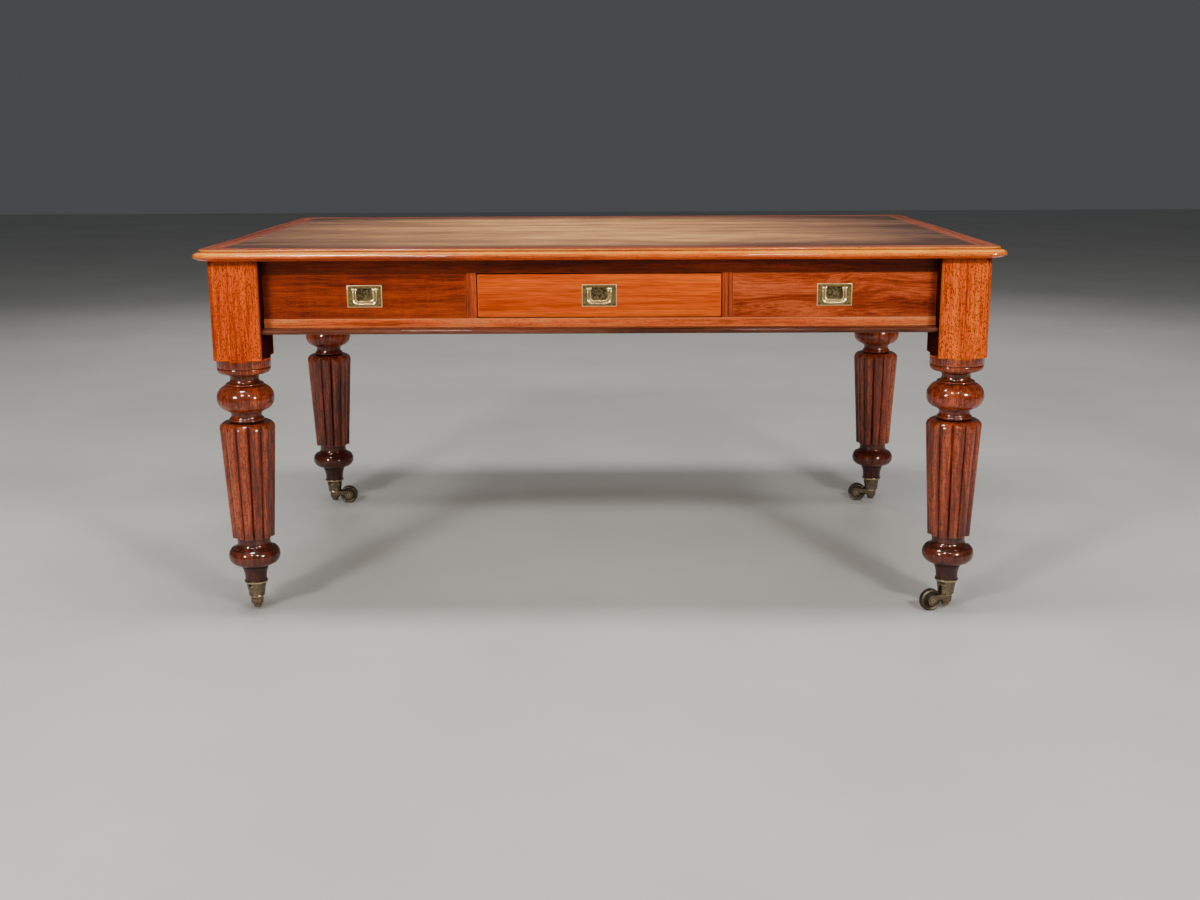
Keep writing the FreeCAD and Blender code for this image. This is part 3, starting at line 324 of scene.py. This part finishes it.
# Frieze rails, aprons, dividers and moulding: long mahogany boards tenoned between the leg blocks.
# The top rail lies in the shade of the top, which its darker tone partly paints in, and the nosed moulding
# under the frieze is dark and greyish.
rows = {"front": -1, "back": 1}
shaded_rail_tones = ((0.05, 0.005, 0.002), (0.15, 0.017, 0.004), (0.30, 0.040, 0.008))
rail_finish = mahogany(
    "rail_polish", "x", ((0, 0, shaded_rail_tones, 0.08),), 11.0, figure=0.6, fleck=0.35, pits=0.4,
)
lower_tones = ((0.42, 0.045, 0.005), (1.0, 0.150, 0.026), (1.0, 0.30, 0.090))
lower_finish = mahogany(
    "lower_rail_polish", "x", ((0, 0, lower_tones, 0.12),), 13.0, figure=0.65, fleck=0.4, pits=0.35,
    wear_and_highlight=0.6, dirt_and_shade=0.25,
)
for row in rows:
    dress(f"top_rail_{row}", rail_finish)
    dress(f"bottom_rail_{row}", lower_finish)
apron_tones = ((0.12, 0.013, 0.004), (0.34, 0.042, 0.010), (0.55, 0.085, 0.020))
apron_finish = mahogany(
    "apron_polish", "y", ((0, 0, apron_tones, 0.2),), 17.0, figure=0.65, fleck=0.35, pits=0.3,
)
for side in ("left", "right"):
    dress(f"end_apron_{side}", apron_finish)
divider_tones = ((0.10, 0.010, 0.003), (0.40, 0.044, 0.007), (0.66, 0.100, 0.020))
divider_finish = mahogany(
    "divider_polish", "z", ((0, 0, divider_tones, 0.2),), 23.0, fleck=0.5, pits=0.3,
)
dress("drawer_dividers", divider_finish)
bead_tones = ((0.04, 0.010, 0.006), (0.12, 0.030, 0.016), (0.25, 0.075, 0.042))
moulding_finish = mahogany(
    "moulding_polish", "x", ((0, 0, bead_tones, 0.2),), 19.0, figure=0.4, fleck=0.4,
)
dress("frieze_moulding", moulding_finish)


# Drawer carcass inside the frieze: bare oak strips and boards, sawn and never polished.
# Runners carry the drawers, guides keep them straight and kickers stop them tipping; the ground board
# of the top is glued over them.
def oak(name, grain, tones, seed):
    """Bare oak: pale, matt, with long open pores."""
    finish, tree, surface, place = new_finish(name)
    rings = cloud(tree, stretched(tree, place, along_grain(grain, 2.0, 60.0), seed), 1.0, 5.0, 0.6)
    pores = cloud(tree, stretched(tree, place, along_grain(grain, 30.0, 700.0), seed), 1.0, 2.0)
    pore_mask = between(tree, pores, 0.55, 0.66)
    dark, middle, light = tones
    colour = ramp(tree, rings, ((0.3, dark), (0.5, middle), (0.7, light)))
    colour = mixed(tree, times(tree, pore_mask, 0.6), colour, tuple(0.4 * tone for tone in dark))
    # Darker in corners and recesses.
    corner_darkening = ramp(tree, sheltered(tree, 0.02), ((0.3, 0.45), (0.9, 1.0)))
    colour = mixed(tree, 1.0, colour, corner_darkening, "MULTIPLY")
    raised = less(tree, rings, pore_mask)
    bump = step(tree, "ShaderNodeBump", {"Height": raised, "Strength": 0.25, "Distance": 0.0005})
    rough = step(tree, "ShaderNodeMapRange", {"Value": rings, "To Min": 0.5, "To Max": 0.75})
    tie(tree, surface, base_color=colour, roughness=rough.outputs["Result"], normal=bump.outputs["Normal"])
    return finish


carcass_tones = ((0.13, 0.068, 0.028), (0.24, 0.135, 0.06), (0.34, 0.21, 0.10))
carcass_finish = oak("carcass_oak", "y", carcass_tones, 3.0)
for node in ("drawer_runners", "drawer_guides", "drawer_kickers"):
    dress(node, carcass_finish)
board_finish = oak("board_oak", "x", carcass_tones, 5.0)
for node in ("centre_partition", "drawer_stops", "top_panel"):
    dress(node, board_finish)

# Drawers: mahogany fronts lapped over dovetailed oak sides, with an oak bottom slid into grooves.
# The centre front is a lighter straight-grained board; the flank ones are red, and the right one is
# boldly figured.
columns = ("left", "centre", "right")
left_tones = ((0.10, 0.009, 0.002), (0.30, 0.030, 0.005), (0.50, 0.068, 0.011))
right_tones = ((0.075, 0.006, 0.002), (0.28, 0.028, 0.005), (0.68, 0.115, 0.026))
centre_tones = ((0.40, 0.032, 0.001), (0.70, 0.082, 0.002), (0.88, 0.140, 0.008))
front_finishes = {
    "left": mahogany(
        "left_front_polish", "x", ((0, 0, left_tones, 0.08),), 29.0, figure=0.6, wave=0.03, fleck=0.35,
        pits=0.45, ripple=0.10, polish=0.3, contrast=0.8,
    ),
    "centre": mahogany(
        "centre_front_polish", "x", ((0, 0, centre_tones, 0.06),), 31.0, figure=0.25, wave=0.008,
        fleck=0.4, polish=0.4, contrast=0.85, pore=14.0,
    ),
    "right": mahogany(
        "right_front_polish", "x", ((0, 0, right_tones, 0.08),), 43.0, figure=0.72, wave=0.09, fleck=0.3,
        pits=0.3, polish=0.3, contrast=0.85,
    ),
}
box_tones = ((0.24, 0.14, 0.065), (0.38, 0.25, 0.125), (0.50, 0.35, 0.19))
box_finish = oak("drawer_oak", "y", box_tones, 7.0)
for row in rows:
    for column in columns:
        dress(f"drawer_front_{row}_{column}", front_finishes[column], 0.0005)
        dress(f"drawer_box_{row}_{column}", box_finish)

# Flush handles: cast brass plates let into the drawer fronts, each held by four screws, with a folding
# bail. The raised edges are rubbed bright and carry painted highlights, and dirt and old polish lie in the
# recess and the hollows.
rim_width, rim_wear_and_highlight_tone = 0.0015, (0.96, 0.72, 0.34)
recess_tones = ((0.4, (0.050, 0.037, 0.015)), (0.62, (0.21, 0.155, 0.07)))
screw_inset, screw_radius, screw_rise = 0.0046, 0.0023, 0.0005
slot_share, slot_depth_share = 0.16, 0.4
slot_angles = (0.4, 1.9, 2.7, 1.1)
bail_half, bar_width, bail_drop, outer_round, inner_cut = 0.02475, 0.0086, 0.0315, 0.011, 0.004
bail_profile = [
    (share, rise / 1000) for share, rise in (
        (0.0, -1.4), (0.02, -0.3), (0.06, 0.55), (0.13, 0.95), (0.22, 0.6), (0.32, -0.7), (0.5, -1.3),
        (0.68, -0.7), (0.78, 0.6), (0.87, 0.95), (0.94, 0.55), (0.98, -0.3), (1.0, -1.4), (1.0, -3.8),
        (0.92, -4.3), (0.08, -4.3), (0.0, -3.8),
    )
]
end_heights = (0.00205, 0.0016, 0.0009, 0.0, -0.0016, -0.0032, -0.0050)
end_low, end_high, crest_rise = -0.0050, -0.0032, 0.00095
ear_reach, ear_radius, pivot_depth, ear_spokes = 0.006, 0.0019, 0.0022, 16
ear_profile = ((-1.0, 0.55), (-0.97, 0.85), (-0.9, 1.0), (0.9, 1.0), (0.97, 0.85), (1.0, 0.55))
hollow_tone = (0.17, 0.118, 0.046)
bail_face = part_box("bail_handle_back_centre")[1].y
bail_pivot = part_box("bail_handle_back_centre")[0].z + bail_drop


def brass(name, bright, dull, patina, seed, roughness, spread=1.0, wear_and_highlight=0.0, extra=None, reach=0.008):
    """Aged brass: rubbed metal, brown cloudy patina, dark dirt where fingers don't reach, and bright edges,
    worn and with painted highlight.
    """
    finish, tree, surface, place = new_finish(name)
    blotch = cloud(tree, stretched(tree, place, (1.0, 1.0, 1.0), seed), 150.0, 5.0, 0.65)
    fine = cloud(tree, stretched(tree, place, (1.0, 1.0, 1.0), seed), 900.0, 3.0)
    grey = sums(tree, "MULTIPLY_ADD", fine, 0.25, times(tree, blotch, 0.8))
    colour = ramp(tree, grey, ((0.38, dull), (0.62, bright)))
    stain = times(tree, between(tree, sheltered(tree, reach), 0.95, 0.45), spread)
    colour = mixed(tree, stain, colour, patina)
    if extra:
        colour = extra(tree, place, colour)
    if wear_and_highlight:
        # Worn edges and painted highlight: sharp edges are lightened to bright brass.
        worn_and_highlit = times(tree, between(tree, sheltered(tree, 0.0022, inside=True), 0.86, 0.6), wear_and_highlight)
        colour = mixed(tree, worn_and_highlit, colour, (0.98, 0.80, 0.48))
    rough = sums(tree, "MULTIPLY_ADD", blotch, 0.2, roughness - 0.1)
    rough = sums(tree, "MULTIPLY_ADD", stain, 0.25, rough)
    raised = sums(tree, "MULTIPLY_ADD", fine, 0.3, blotch)
    bump = step(tree, "ShaderNodeBump", {"Height": raised, "Strength": 0.14, "Distance": 0.0004})
    tie(tree, surface, base_color=colour, metallic=1.0, roughness=rough, normal=bump.outputs["Normal"])
    return finish


def new_piece(name, mesh, smooth_ends=True):
    """Piece made from a mesh, shaded smooth; the flat ends of a turned piece may stay flat."""
    bmesh.ops.recalc_face_normals(mesh, faces=mesh.faces[:])
    data = bpy.data.meshes.new(name)
    mesh.to_mesh(data)
    mesh.free()
    for face in data.polygons:
        face.use_smooth = smooth_ends or len(face.vertices) == 4
    piece = bpy.data.objects.new(name, data)
    bpy.context.scene.collection.objects.link(piece)
    return piece


def skin(mesh, rings):
    """Closed skin over a row of rings, with both ends filled."""
    count = len(rings[0])
    for first, second in zip(rings, rings[1:]):
        for index in range(count):
            other = (index + 1) % count
            mesh.faces.new((first[index], first[other], second[other], second[index]))
    mesh.faces.new(rings[0])
    mesh.faces.new(list(reversed(rings[-1])))


def slotted_heads(name, heads, radius, rise, facing):
    """Screw heads: low domes, each parted by a slot at its own angle, looking along one axis."""
    mesh = bmesh.new()
    slot = radius * slot_share
    reach = math.acos(slot / radius)
    out = Vector(facing)
    side = out.orthogonal().normalized()
    lift = out.cross(side)
    ring_count, stop_count = 4, 12
    for heart, angle in heads:
        across = side * math.cos(angle) + lift * math.sin(angle)
        beside = out.cross(across)
        for half in (-1, 1):
            rings = []
            for ring in range(ring_count + 1):
                shrink = 1.0 - ring / ring_count
                verts = []
                for stop in range(stop_count + 1):
                    turn = -reach + 2 * reach * stop / stop_count
                    u = slot + (radius * math.cos(turn) - slot) * shrink
                    v = radius * math.sin(turn) * shrink
                    far = min(1.0, math.hypot(u, v) / radius)
                    w = rise * (1.0 - far * far) if ring else 0.0
                    verts.append(mesh.verts.new(heart + across * (half * u) + beside * v + out * w))
                rings.append(verts)
            for inner, outer in zip(rings[1:], rings):
                for index in range(stop_count):
                    mesh.faces.new((outer[index], outer[index + 1], inner[index + 1], inner[index]))
            wall_top = [ring[0] for ring in rings] + [ring[-1] for ring in reversed(rings[:-1])]
            wall_low = []
            for vert in wall_top:
                sunk = rise * slot_depth_share + (vert.co - heart).dot(out)
                wall_low.append(mesh.verts.new(vert.co - out * sunk))
            for index in range(len(wall_top) - 1):
                mesh.faces.new((wall_top[index], wall_top[index + 1], wall_low[index + 1], wall_low[index]))
    return new_piece(name, mesh)


def plate_wear_and_highlight(low, high, face):
    """Rubbed rim of a plate with a painted highlight, and the dirt that fills its recess from the face
    inwards.
    """
    def laid_on(tree, place, colour):
        split = step(tree, "ShaderNodeSeparateXYZ", {"Vector": place}).outputs
        edges = []
        for axis, least, most in (("X", low.x, high.x), ("Z", low.z, high.z)):
            off = apart(tree, split[axis], (least + most) / 2)
            edges.append(less(tree, (most - least) / 2, off))
        # Worn rim and painted highlight: a bright band along the plate's edges.
        near = between(tree, sums(tree, "MINIMUM", *edges), rim_width, rim_width * 0.6)
        colour = mixed(tree, times(tree, near, 0.85), colour, rim_wear_and_highlight_tone)
        depth = less(tree, abs(face), sums(tree, "ABSOLUTE", split["Y"]))
        grime = ramp(tree, cloud(tree, place, 240.0, 4.0), recess_tones)
        return mixed(tree, between(tree, depth, 0.0008, 0.0030), colour, grime)
    return laid_on


def rolled_end(rise, z):
    """Rise kept inside the round upper end of the bail, so that it turns freely in its seat."""
    if z > end_low:
        rise = min(rise, crest_rise * max(0.0, (end_high - z) / (end_high - end_low)))
    if z > 0.0:
        half = math.sqrt(max(0.0, pivot_depth ** 2 - z * z))
        rise = max(-pivot_depth - half, min(rise, half - pivot_depth))
    return rise


def ridged_bail(name, middle, face, outwards, pivot):
    """Cast bail: a U of bar with a rounded ridge along each edge and a hollow between, on round ears."""
    mesh = bmesh.new()
    stations = [((-bail_half, z), (bar_width - bail_half, z)) for z in end_heights]
    for share in (0.4, 0.6, 0.8, 1.0):
        outer_z = (outer_round - bail_drop) * share
        inner_z = (bar_width + inner_cut - bail_drop) * share
        stations.append(((-bail_half, outer_z), (bar_width - bail_half, inner_z)))
    for share in (0.125, 0.25, 0.375, 0.5, 0.625, 0.75, 0.875, 1.0):
        turn = math.pi * (1.0 + share / 2)
        outer_x = outer_round - bail_half + outer_round * math.cos(turn)
        outer_z = outer_round - bail_drop + outer_round * math.sin(turn)
        inner_x = bar_width - bail_half + inner_cut * share
        inner_z = bar_width + inner_cut * (1.0 - share) - bail_drop
        stations.append(((outer_x, outer_z), (inner_x, inner_z)))
    for (outer_x, outer_z), (inner_x, inner_z) in stations[::-1]:
        stations.append(((-outer_x, outer_z), (-inner_x, inner_z)))
    loops = []
    for outer, inner in stations:
        loop = []
        for share, rise in bail_profile:
            x = outer[0] + (inner[0] - outer[0]) * share
            z = outer[1] + (inner[1] - outer[1]) * share
            loop.append(mesh.verts.new((middle + x, face + outwards * rolled_end(rise, z), pivot + z)))
        loops.append(loop)
    skin(mesh, loops)
    for side in (-1, 1):
        heart = side * (bail_half - bar_width / 2)
        rings = []
        for reach, swell in ear_profile:
            ring = []
            for spoke in range(ear_spokes):
                angle = 2 * math.pi * spoke / ear_spokes
                ring.append(mesh.verts.new((
                    middle + heart + reach * ear_reach,
                    face - outwards * pivot_depth + ear_radius * swell * math.cos(angle),
                    pivot + ear_radius * swell * math.sin(angle),
                )))
            rings.append(ring)
        skin(mesh, rings)
    return new_piece(name, mesh)


def bail_wear(tree, place, colour):
    """Dirt in the hollow of a bail, between its two rubbed ridges."""
    rise = less(tree, sums(tree, "ABSOLUTE", along(tree, place, "Y")), bail_face)
    below = between(tree, along(tree, place, "Z"), bail_pivot - 0.0015, bail_pivot - 0.0030)
    hollow = times(tree, between(tree, rise, -0.0004, -0.0012), below)
    return mixed(tree, hollow, colour, hollow_tone)


bail_finish = brass(
    "bail_brass", (1.0, 0.76, 0.36), (0.86, 0.61, 0.26), (0.13, 0.090, 0.035), 2.0, 0.22,
    extra=bail_wear, reach=0.0035,
)
screw_finish = brass(
    "screw_brass", (0.12, 0.085, 0.035), (0.05, 0.035, 0.016), (0.012, 0.009, 0.005), 3.0, 0.4,
)
for row, outwards in rows.items():
    for column in columns:
        low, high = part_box(f"handle_plate_{row}_{column}")
        face = low.y if outwards < 0 else high.y
        plate_finish = brass(
            f"plate_brass_{row}_{column}", (0.25, 0.170, 0.060), (0.10, 0.068, 0.022), (0.05, 0.035, 0.014),
            1.0, 0.34, extra=plate_wear_and_highlight(low, high, face),
        )
        dress(f"handle_plate_{row}_{column}", plate_finish, 0.0003)
        heads = []
        for x in (low.x + screw_inset, high.x - screw_inset):
            for z in (low.z + screw_inset, high.z - screw_inset):
                heads.append((Vector((x, face, z)), slot_angles[len(heads)]))
        screws = slotted_heads(
            f"handle_screw_heads_{row}_{column}", heads, screw_radius, screw_rise, (0, outwards, 0),
        )
        screws.data.materials.append(screw_finish)
        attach(screws, f"drawer_{row}_{column}")
        bail_low, bail_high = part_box(f"bail_handle_{row}_{column}")
        bail_front = bail_low.y if outwards < 0 else bail_high.y
        bail = ridged_bail(
            f"bail_{row}_{column}_cast", (bail_low.x + bail_high.x) / 2, bail_front, outwards,
            bail_low.z + bail_drop,
        )
        bail.data.materials.append(bail_finish)
        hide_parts(f"bail_handle_{row}_{column}")
        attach(bail, f"bail_{row}_{column}")

# Top: mitred mahogany border with a moulded edge, around a leather lining on an oak ground.
# The border's grain turns at the mitres; its flat is dark with polish and its edge a bright orange, with
# painted highlights on its crests and painted shade in its quirk and under the nose.
border_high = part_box("top_border")[1]
half_width, half_depth = border_high.x, border_high.y
under_shade_tones = ((0.26, 0.026, 0.001), (0.66, 0.078, 0.001), (0.90, 0.140, 0.003))
edge_tones = ((0.46, 0.054, 0.001), (0.92, 0.152, 0.001), (1.0, 0.270, 0.004))
flat_tones = ((0.16, 0.028, 0.010), (0.36, 0.070, 0.024), (0.54, 0.125, 0.045))
crest_highlight_lines, crest_highlight_tone = ((0.0022, 0.0014, 0.9), (0.0080, 0.0020, 0.8)), (1.0, 0.46, 0.06)
edge_quirk, edge_quirk_shade_tone = 0.0043, (0.16, 0.022, 0.003)


def mitred_grain(tree, place):
    """Coordinates that run along X on the long border lengths and turn by the mitre on the short ones."""
    split = step(tree, "ShaderNodeSeparateXYZ", {"Vector": place}).outputs
    inset_x = less(tree, half_width, sums(tree, "ABSOLUTE", split["X"]))
    inset_y = less(tree, half_depth, sums(tree, "ABSOLUTE", split["Y"]))
    on_end = sums(tree, "LESS_THAN", inset_x, inset_y)
    turned = step(tree, "ShaderNodeCombineXYZ", {"X": split["Y"], "Y": split["X"], "Z": split["Z"]})
    made = step(tree, "ShaderNodeMix", data_type="VECTOR")
    ends = {item.identifier: item for item in made.inputs}
    tree.links.new(on_end, ends["Factor_Float"])
    tree.links.new(place, ends["A_Vector"])
    tree.links.new(turned.outputs["Vector"], ends["B_Vector"])
    return {item.identifier: item for item in made.outputs}["Result_Vector"]


def crest_highlights_and_quirk_shade(tree, place, colour):
    """Painted highlights as bright lines on the crests of the bead and the nose, and painted shade as a
    dark line in the quirk between.
    """
    # Painted highlights: bright lines on the crests of the bead and the nose.
    for depth, half, share in crest_highlight_lines:
        off = apart(tree, along(tree, place, "Z"), border_high.z - depth)
        patchy = between(tree, cloud(tree, place, 13.0, 4.0, 0.65), 0.30, 0.52)
        line = times(tree, between(tree, off, half, half * 0.4), patchy)
        colour = mixed(tree, times(tree, line, share), colour, crest_highlight_tone)
    # Painted shade: a dark line in the quirk under the bead.
    off = apart(tree, along(tree, place, "Z"), border_high.z - edge_quirk)
    quirk_shade = times(tree, between(tree, off, 0.0012, 0.0004), 0.8)
    return mixed(tree, quirk_shade, colour, edge_quirk_shade_tone), None


# Painted shade: the lower part of the nose and the underside take a darker tone than the edge above.
border_zones = (
    (0, 0, under_shade_tones, 0.7), (border_high.z - 0.017, border_high.z - 0.011, edge_tones, 0.7),
    (border_high.z - 0.0012, border_high.z - 0.0003, flat_tones, 0.3),
)
border_finish = mahogany(
    "border_polish", "x", border_zones, 41.0, figure=0.45, fleck=0.4, pits=0.6, wear_and_highlight=0.2, polish=0.3,
    mitre=mitred_grain, marks=crest_highlights_and_quirk_shade,
)
dress("top_border", border_finish)

# Leather lining: one glazed hide glued on the ground board, level with the border.
# It is golden tan in the middle and darker towards the border, with old stains and streaks along it.
lining_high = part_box("leather_writing_surface")[1]
pale_middle = -0.05
hide_tones = (
    (0.26, (0.88, 0.46, 0.175)), (0.38, (0.64, 0.30, 0.115)), (0.54, (0.38, 0.178, 0.085)),
    (0.78, (0.20, 0.098, 0.058)), (1.0, (0.085, 0.042, 0.030)),
)


def hide(name):
    """Glazed hide: tan in the middle, darker towards its edges, with stains, streaks and fine creases."""
    finish, tree, surface, place = new_finish(name)
    split = step(tree, "ShaderNodeSeparateXYZ", {"Vector": place}).outputs
    share_x = sums(tree, "DIVIDE", apart(tree, split["X"], pale_middle), lining_high.x)
    share_y = sums(tree, "DIVIDE", sums(tree, "ABSOLUTE", split["Y"]), lining_high.y)
    reach = sums(tree, "ADD", sums(tree, "POWER", share_x, 2.2), sums(tree, "POWER", share_y, 7.0))
    mottle = cloud(tree, stretched(tree, place, (2.0, 6.0, 1.0), 1.0), 2.0, 6.0, 0.62, 0.4)
    blots = cloud(tree, stretched(tree, place, (1.0, 2.2, 1.0), 4.0), 11.0, 5.0, 0.6)
    level = sums(tree, "MULTIPLY_ADD", reach, 0.50, times(tree, mottle, 0.6))
    level = sums(tree, "MULTIPLY_ADD", less(tree, blots, 0.4), 0.45, level)
    streaks = cloud(tree, stretched(tree, place, (1.3, 11.0, 1.0), 7.0), 1.0, 4.0, 0.6, 0.6)
    level = sums(tree, "MULTIPLY_ADD", less(tree, streaks, 0.47), 0.8, level)
    colour = ramp(tree, level, hide_tones)
    cells = step(
        tree, "ShaderNodeTexVoronoi", {"Vector": place, "Scale": 620.0}, feature="DISTANCE_TO_EDGE",
    )
    creases = between(tree, cells.outputs["Distance"], 0.0, 0.12)
    colour = mixed(tree, 0.15, colour, creases, "MULTIPLY")
    raised = sums(tree, "MULTIPLY_ADD", blots, 1.5, creases)
    bump = step(tree, "ShaderNodeBump", {"Height": raised, "Strength": 0.1, "Distance": 0.0004})
    rough = step(
        tree, "ShaderNodeMapRange",
        {"Value": mottle, "From Min": 0.3, "From Max": 0.7, "To Min": 0.30, "To Max": 0.45},
    )
    tie(tree, surface, base_color=colour, roughness=rough.outputs["Result"], normal=bump.outputs["Normal"])
    tie(tree, surface, specular_ior_level=0.22, specular_tint=(1.0, 0.72, 0.48, 1.0))
    return finish


dress("leather_writing_surface", hide("antiqued_hide"))

# Castors: cast brass cups screwed to the feet, each with a horn, an axle pin and a brass wheel.
# The horn hangs from a round hub with a collar above and a small boss below. All are dull and brown,
# the wheels nearly black, with painted highlights on the lips and collars.
lip_line, lip_highlight_tone, collar_highlight_tone = 0.0640, (0.62, 0.44, 0.24), (0.50, 0.37, 0.20)
hub_profile = [
    (radius / 1000, z / 1000) for radius, z in (
        (13.1, 33.6), (13.9, 33.0), (14.3, 31.8), (13.9, 30.6), (13.15, 30.0), (13.1, 24.0), (12.6, 18.5),
        (12.1, 16.6), (11.3, 15.6), (10.0, 15.1), (8.9, 14.7), (8.6, 14.0), (8.4, 10.5), (8.1, 8.9),
        (7.3, 7.8), (5.8, 7.2), (3.0, 7.0),
    )
]
collar_line = hub_profile[2][1]


def lip_highlight(tree, place, colour):
    """Painted highlight: a bright line around the lip of a cup."""
    off = apart(tree, along(tree, place, "Z"), lip_line)
    return mixed(tree, between(tree, off, 0.0011, 0.0004), colour, lip_highlight_tone)


def collar_highlight(tree, place, colour):
    """Painted highlight: a bright collar at the top of a hub."""
    off = apart(tree, along(tree, place, "Z"), collar_line)
    return mixed(tree, times(tree, between(tree, off, 0.0016, 0.0006), 0.9), colour, collar_highlight_tone)


def turned_hub(name, middle, profile, spokes=40):
    """Round hub, turned about an upright axis."""
    mesh = bmesh.new()
    rings = []
    for radius, z in profile:
        ring = []
        for spoke in range(spokes):
            turn = 2 * math.pi * spoke / spokes
            spot = (middle.x + radius * math.cos(turn), middle.y + radius * math.sin(turn), z)
            ring.append(mesh.verts.new(spot))
        rings.append(ring)
    skin(mesh, rings)
    return new_piece(name, mesh, smooth_ends=False)


cup_finish = brass(
    "cup_brass", (0.225, 0.170, 0.105), (0.115, 0.088, 0.056), (0.05, 0.037, 0.022), 5.0, 0.26, 0.55,
    extra=lip_highlight,
)
hub_finish = brass(
    "hub_brass", (0.25, 0.18, 0.10), (0.125, 0.092, 0.055), (0.05, 0.037, 0.022), 8.0, 0.30, 0.5,
    extra=collar_highlight,
)
horn_finish = brass(
    "horn_brass", (0.17, 0.125, 0.075), (0.075, 0.056, 0.037), (0.03, 0.022, 0.015), 6.0, 0.38, 0.9,
)
wheel_finish = brass(
    "wheel_brass", (0.085, 0.065, 0.044), (0.040, 0.031, 0.023), (0.018, 0.014, 0.010), 7.0, 0.44, 0.9,
    wear_and_highlight=0.25,
)
dress("castor_cups", cup_finish, 0.0005)
dress("cup_screws", screw_finish)
for corner in corners:
    dress(f"castor_horn_{corner}", horn_finish, 0.0008, 3)
    dress(f"castor_axle_{corner}", wheel_finish, 0.0004, 2)
    dress(f"castor_wheel_{corner}", wheel_finish, 0.0008, 3)
    leg_low, leg_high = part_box(f"leg_{corner}")
    hub = turned_hub(f"castor_hub_{corner}", (leg_low + leg_high) / 2, hub_profile)
    hub.data.materials.append(hub_finish)
    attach(hub, f"castor_{corner}")

# Studio: a pale floor, soft lights above and in front, and the camera where the photograph was taken.
# Small lamps that show only in the polish and the brass give them their glints.
floor_reach = 14.0
floor_corners = [(x * floor_reach, y * floor_reach, 0) for x, y in ((-1, -1), (1, -1), (1, 1), (-1, 1))]
floor_mesh = bpy.data.meshes.new("floor")
floor_mesh.from_pydata(floor_corners, [], [(0, 1, 2, 3)])
floor = bpy.data.objects.new("floor", floor_mesh)
bpy.context.scene.collection.objects.link(floor)
floor_finish, tree, surface, place = new_finish("pale_floor")
shade = ramp(tree, cloud(tree, place, 1.5, 6.0), ((0.3, (0.58, 0.565, 0.52)), (0.7, (0.66, 0.645, 0.60))))
tie(tree, surface, base_color=shade, roughness=0.7)
floor_mesh.materials.append(floor_finish)


def softbox(name, place, target, width, depth, power):
    """Soft light with a rectangular face, turned to a point on the desk."""
    light = bpy.data.lights.new(name, "AREA")
    light.shape = "RECTANGLE"
    light.size = width
    light.size_y = depth
    light.energy = power
    lamp = bpy.data.objects.new(name, light)
    lamp.location = place
    lamp.rotation_euler = (Vector(target) - Vector(place)).to_track_quat("-Z", "Y").to_euler()
    lamp.visible_camera = False
    bpy.context.scene.collection.objects.link(lamp)
    return lamp


softbox("overhead", (0.0, -0.6, 3.3), (0, -0.1, 0.5), 2.6, 0.6, 75.0).visible_glossy = False
softbox("front_left", (-2.0, -3.7, 2.65), (-0.3, -0.4, 0.45), 0.55, 0.32, 80.0).visible_glossy = False
softbox("front_right", (1.9, -3.7, 2.65), (0.3, -0.4, 0.45), 0.55, 0.32, 80.0).visible_glossy = False
for lamp_name, lamp_place, lamp_size, lamp_power in (
    ("lamp_far_left", (-2.24, -2.75, 1.80), (0.50, 0.40), 130.0),
    ("lamp_left", (-0.79, -3.24, 3.30), (0.34, 0.30), 70.0),
    ("lamp_right", (0.79, -3.24, 3.30), (0.34, 0.30), 70.0),
    ("lamp_far_right", (2.24, -2.75, 1.80), (0.50, 0.40), 130.0),
):
    softbox(lamp_name, lamp_place, (0, -0.44, 0.45), *lamp_size, lamp_power).visible_diffuse = False
softbox("window", (-0.98, -0.75, 3.0), (-0.6, -0.5, 0.75), 0.47, 0.50, 150.0).visible_diffuse = False
softbox("front_panel", (0.0, -3.9, 0.36), (0, -0.5, 0.36), 3.6, 0.7, 6.0).visible_diffuse = False
for fill_name, fill_place, fill_power in (
    ("back_left_fill", (-1.8, 4.2, 2.8), 32.0), ("back_right_fill", (1.8, 4.2, 2.8), 32.0),
    ("left_fill", (-4.4, 0.2, 2.4), 20.0), ("right_fill", (4.4, 0.2, 2.4), 20.0),
):
    fill = softbox(fill_name, fill_place, (0, 0, 0.45), 1.2, 0.8, fill_power)
    fill.visible_glossy = False
world = bpy.data.worlds.new("studio")
bpy.context.scene.world = world
world.use_nodes = True
backdrop = world.node_tree.nodes["Background"]
backdrop.inputs["Color"].default_value = (0.82, 0.86, 0.92, 1.0)
backdrop.inputs["Strength"].default_value = 0.085

camera_data = bpy.data.cameras.new("camera")
camera_data.sensor_width = 36.0
camera_data.lens = 43.865
camera = bpy.data.objects.new("camera", camera_data)
pitch, yaw, roll = (math.radians(angle) for angle in (-12.527, -0.414, -0.285))
level_ahead = Vector((math.sin(yaw), math.cos(yaw), 0))
right = Vector((math.cos(yaw), -math.sin(yaw), 0))
ahead = level_ahead * math.cos(pitch) + Vector((0, 0, math.sin(pitch)))
up = right.cross(ahead)
tilted_right = right * math.cos(roll) + up * math.sin(roll)
tilted_up = up * math.cos(roll) - right * math.sin(roll)
turn = Matrix((tilted_right, tilted_up, -ahead)).transposed().to_4x4()
camera.matrix_world = Matrix.Translation((0.020979, -3.384852, 0.994601)) @ turn
bpy.context.scene.collection.objects.link(camera)
bpy.context.scene.camera = camera
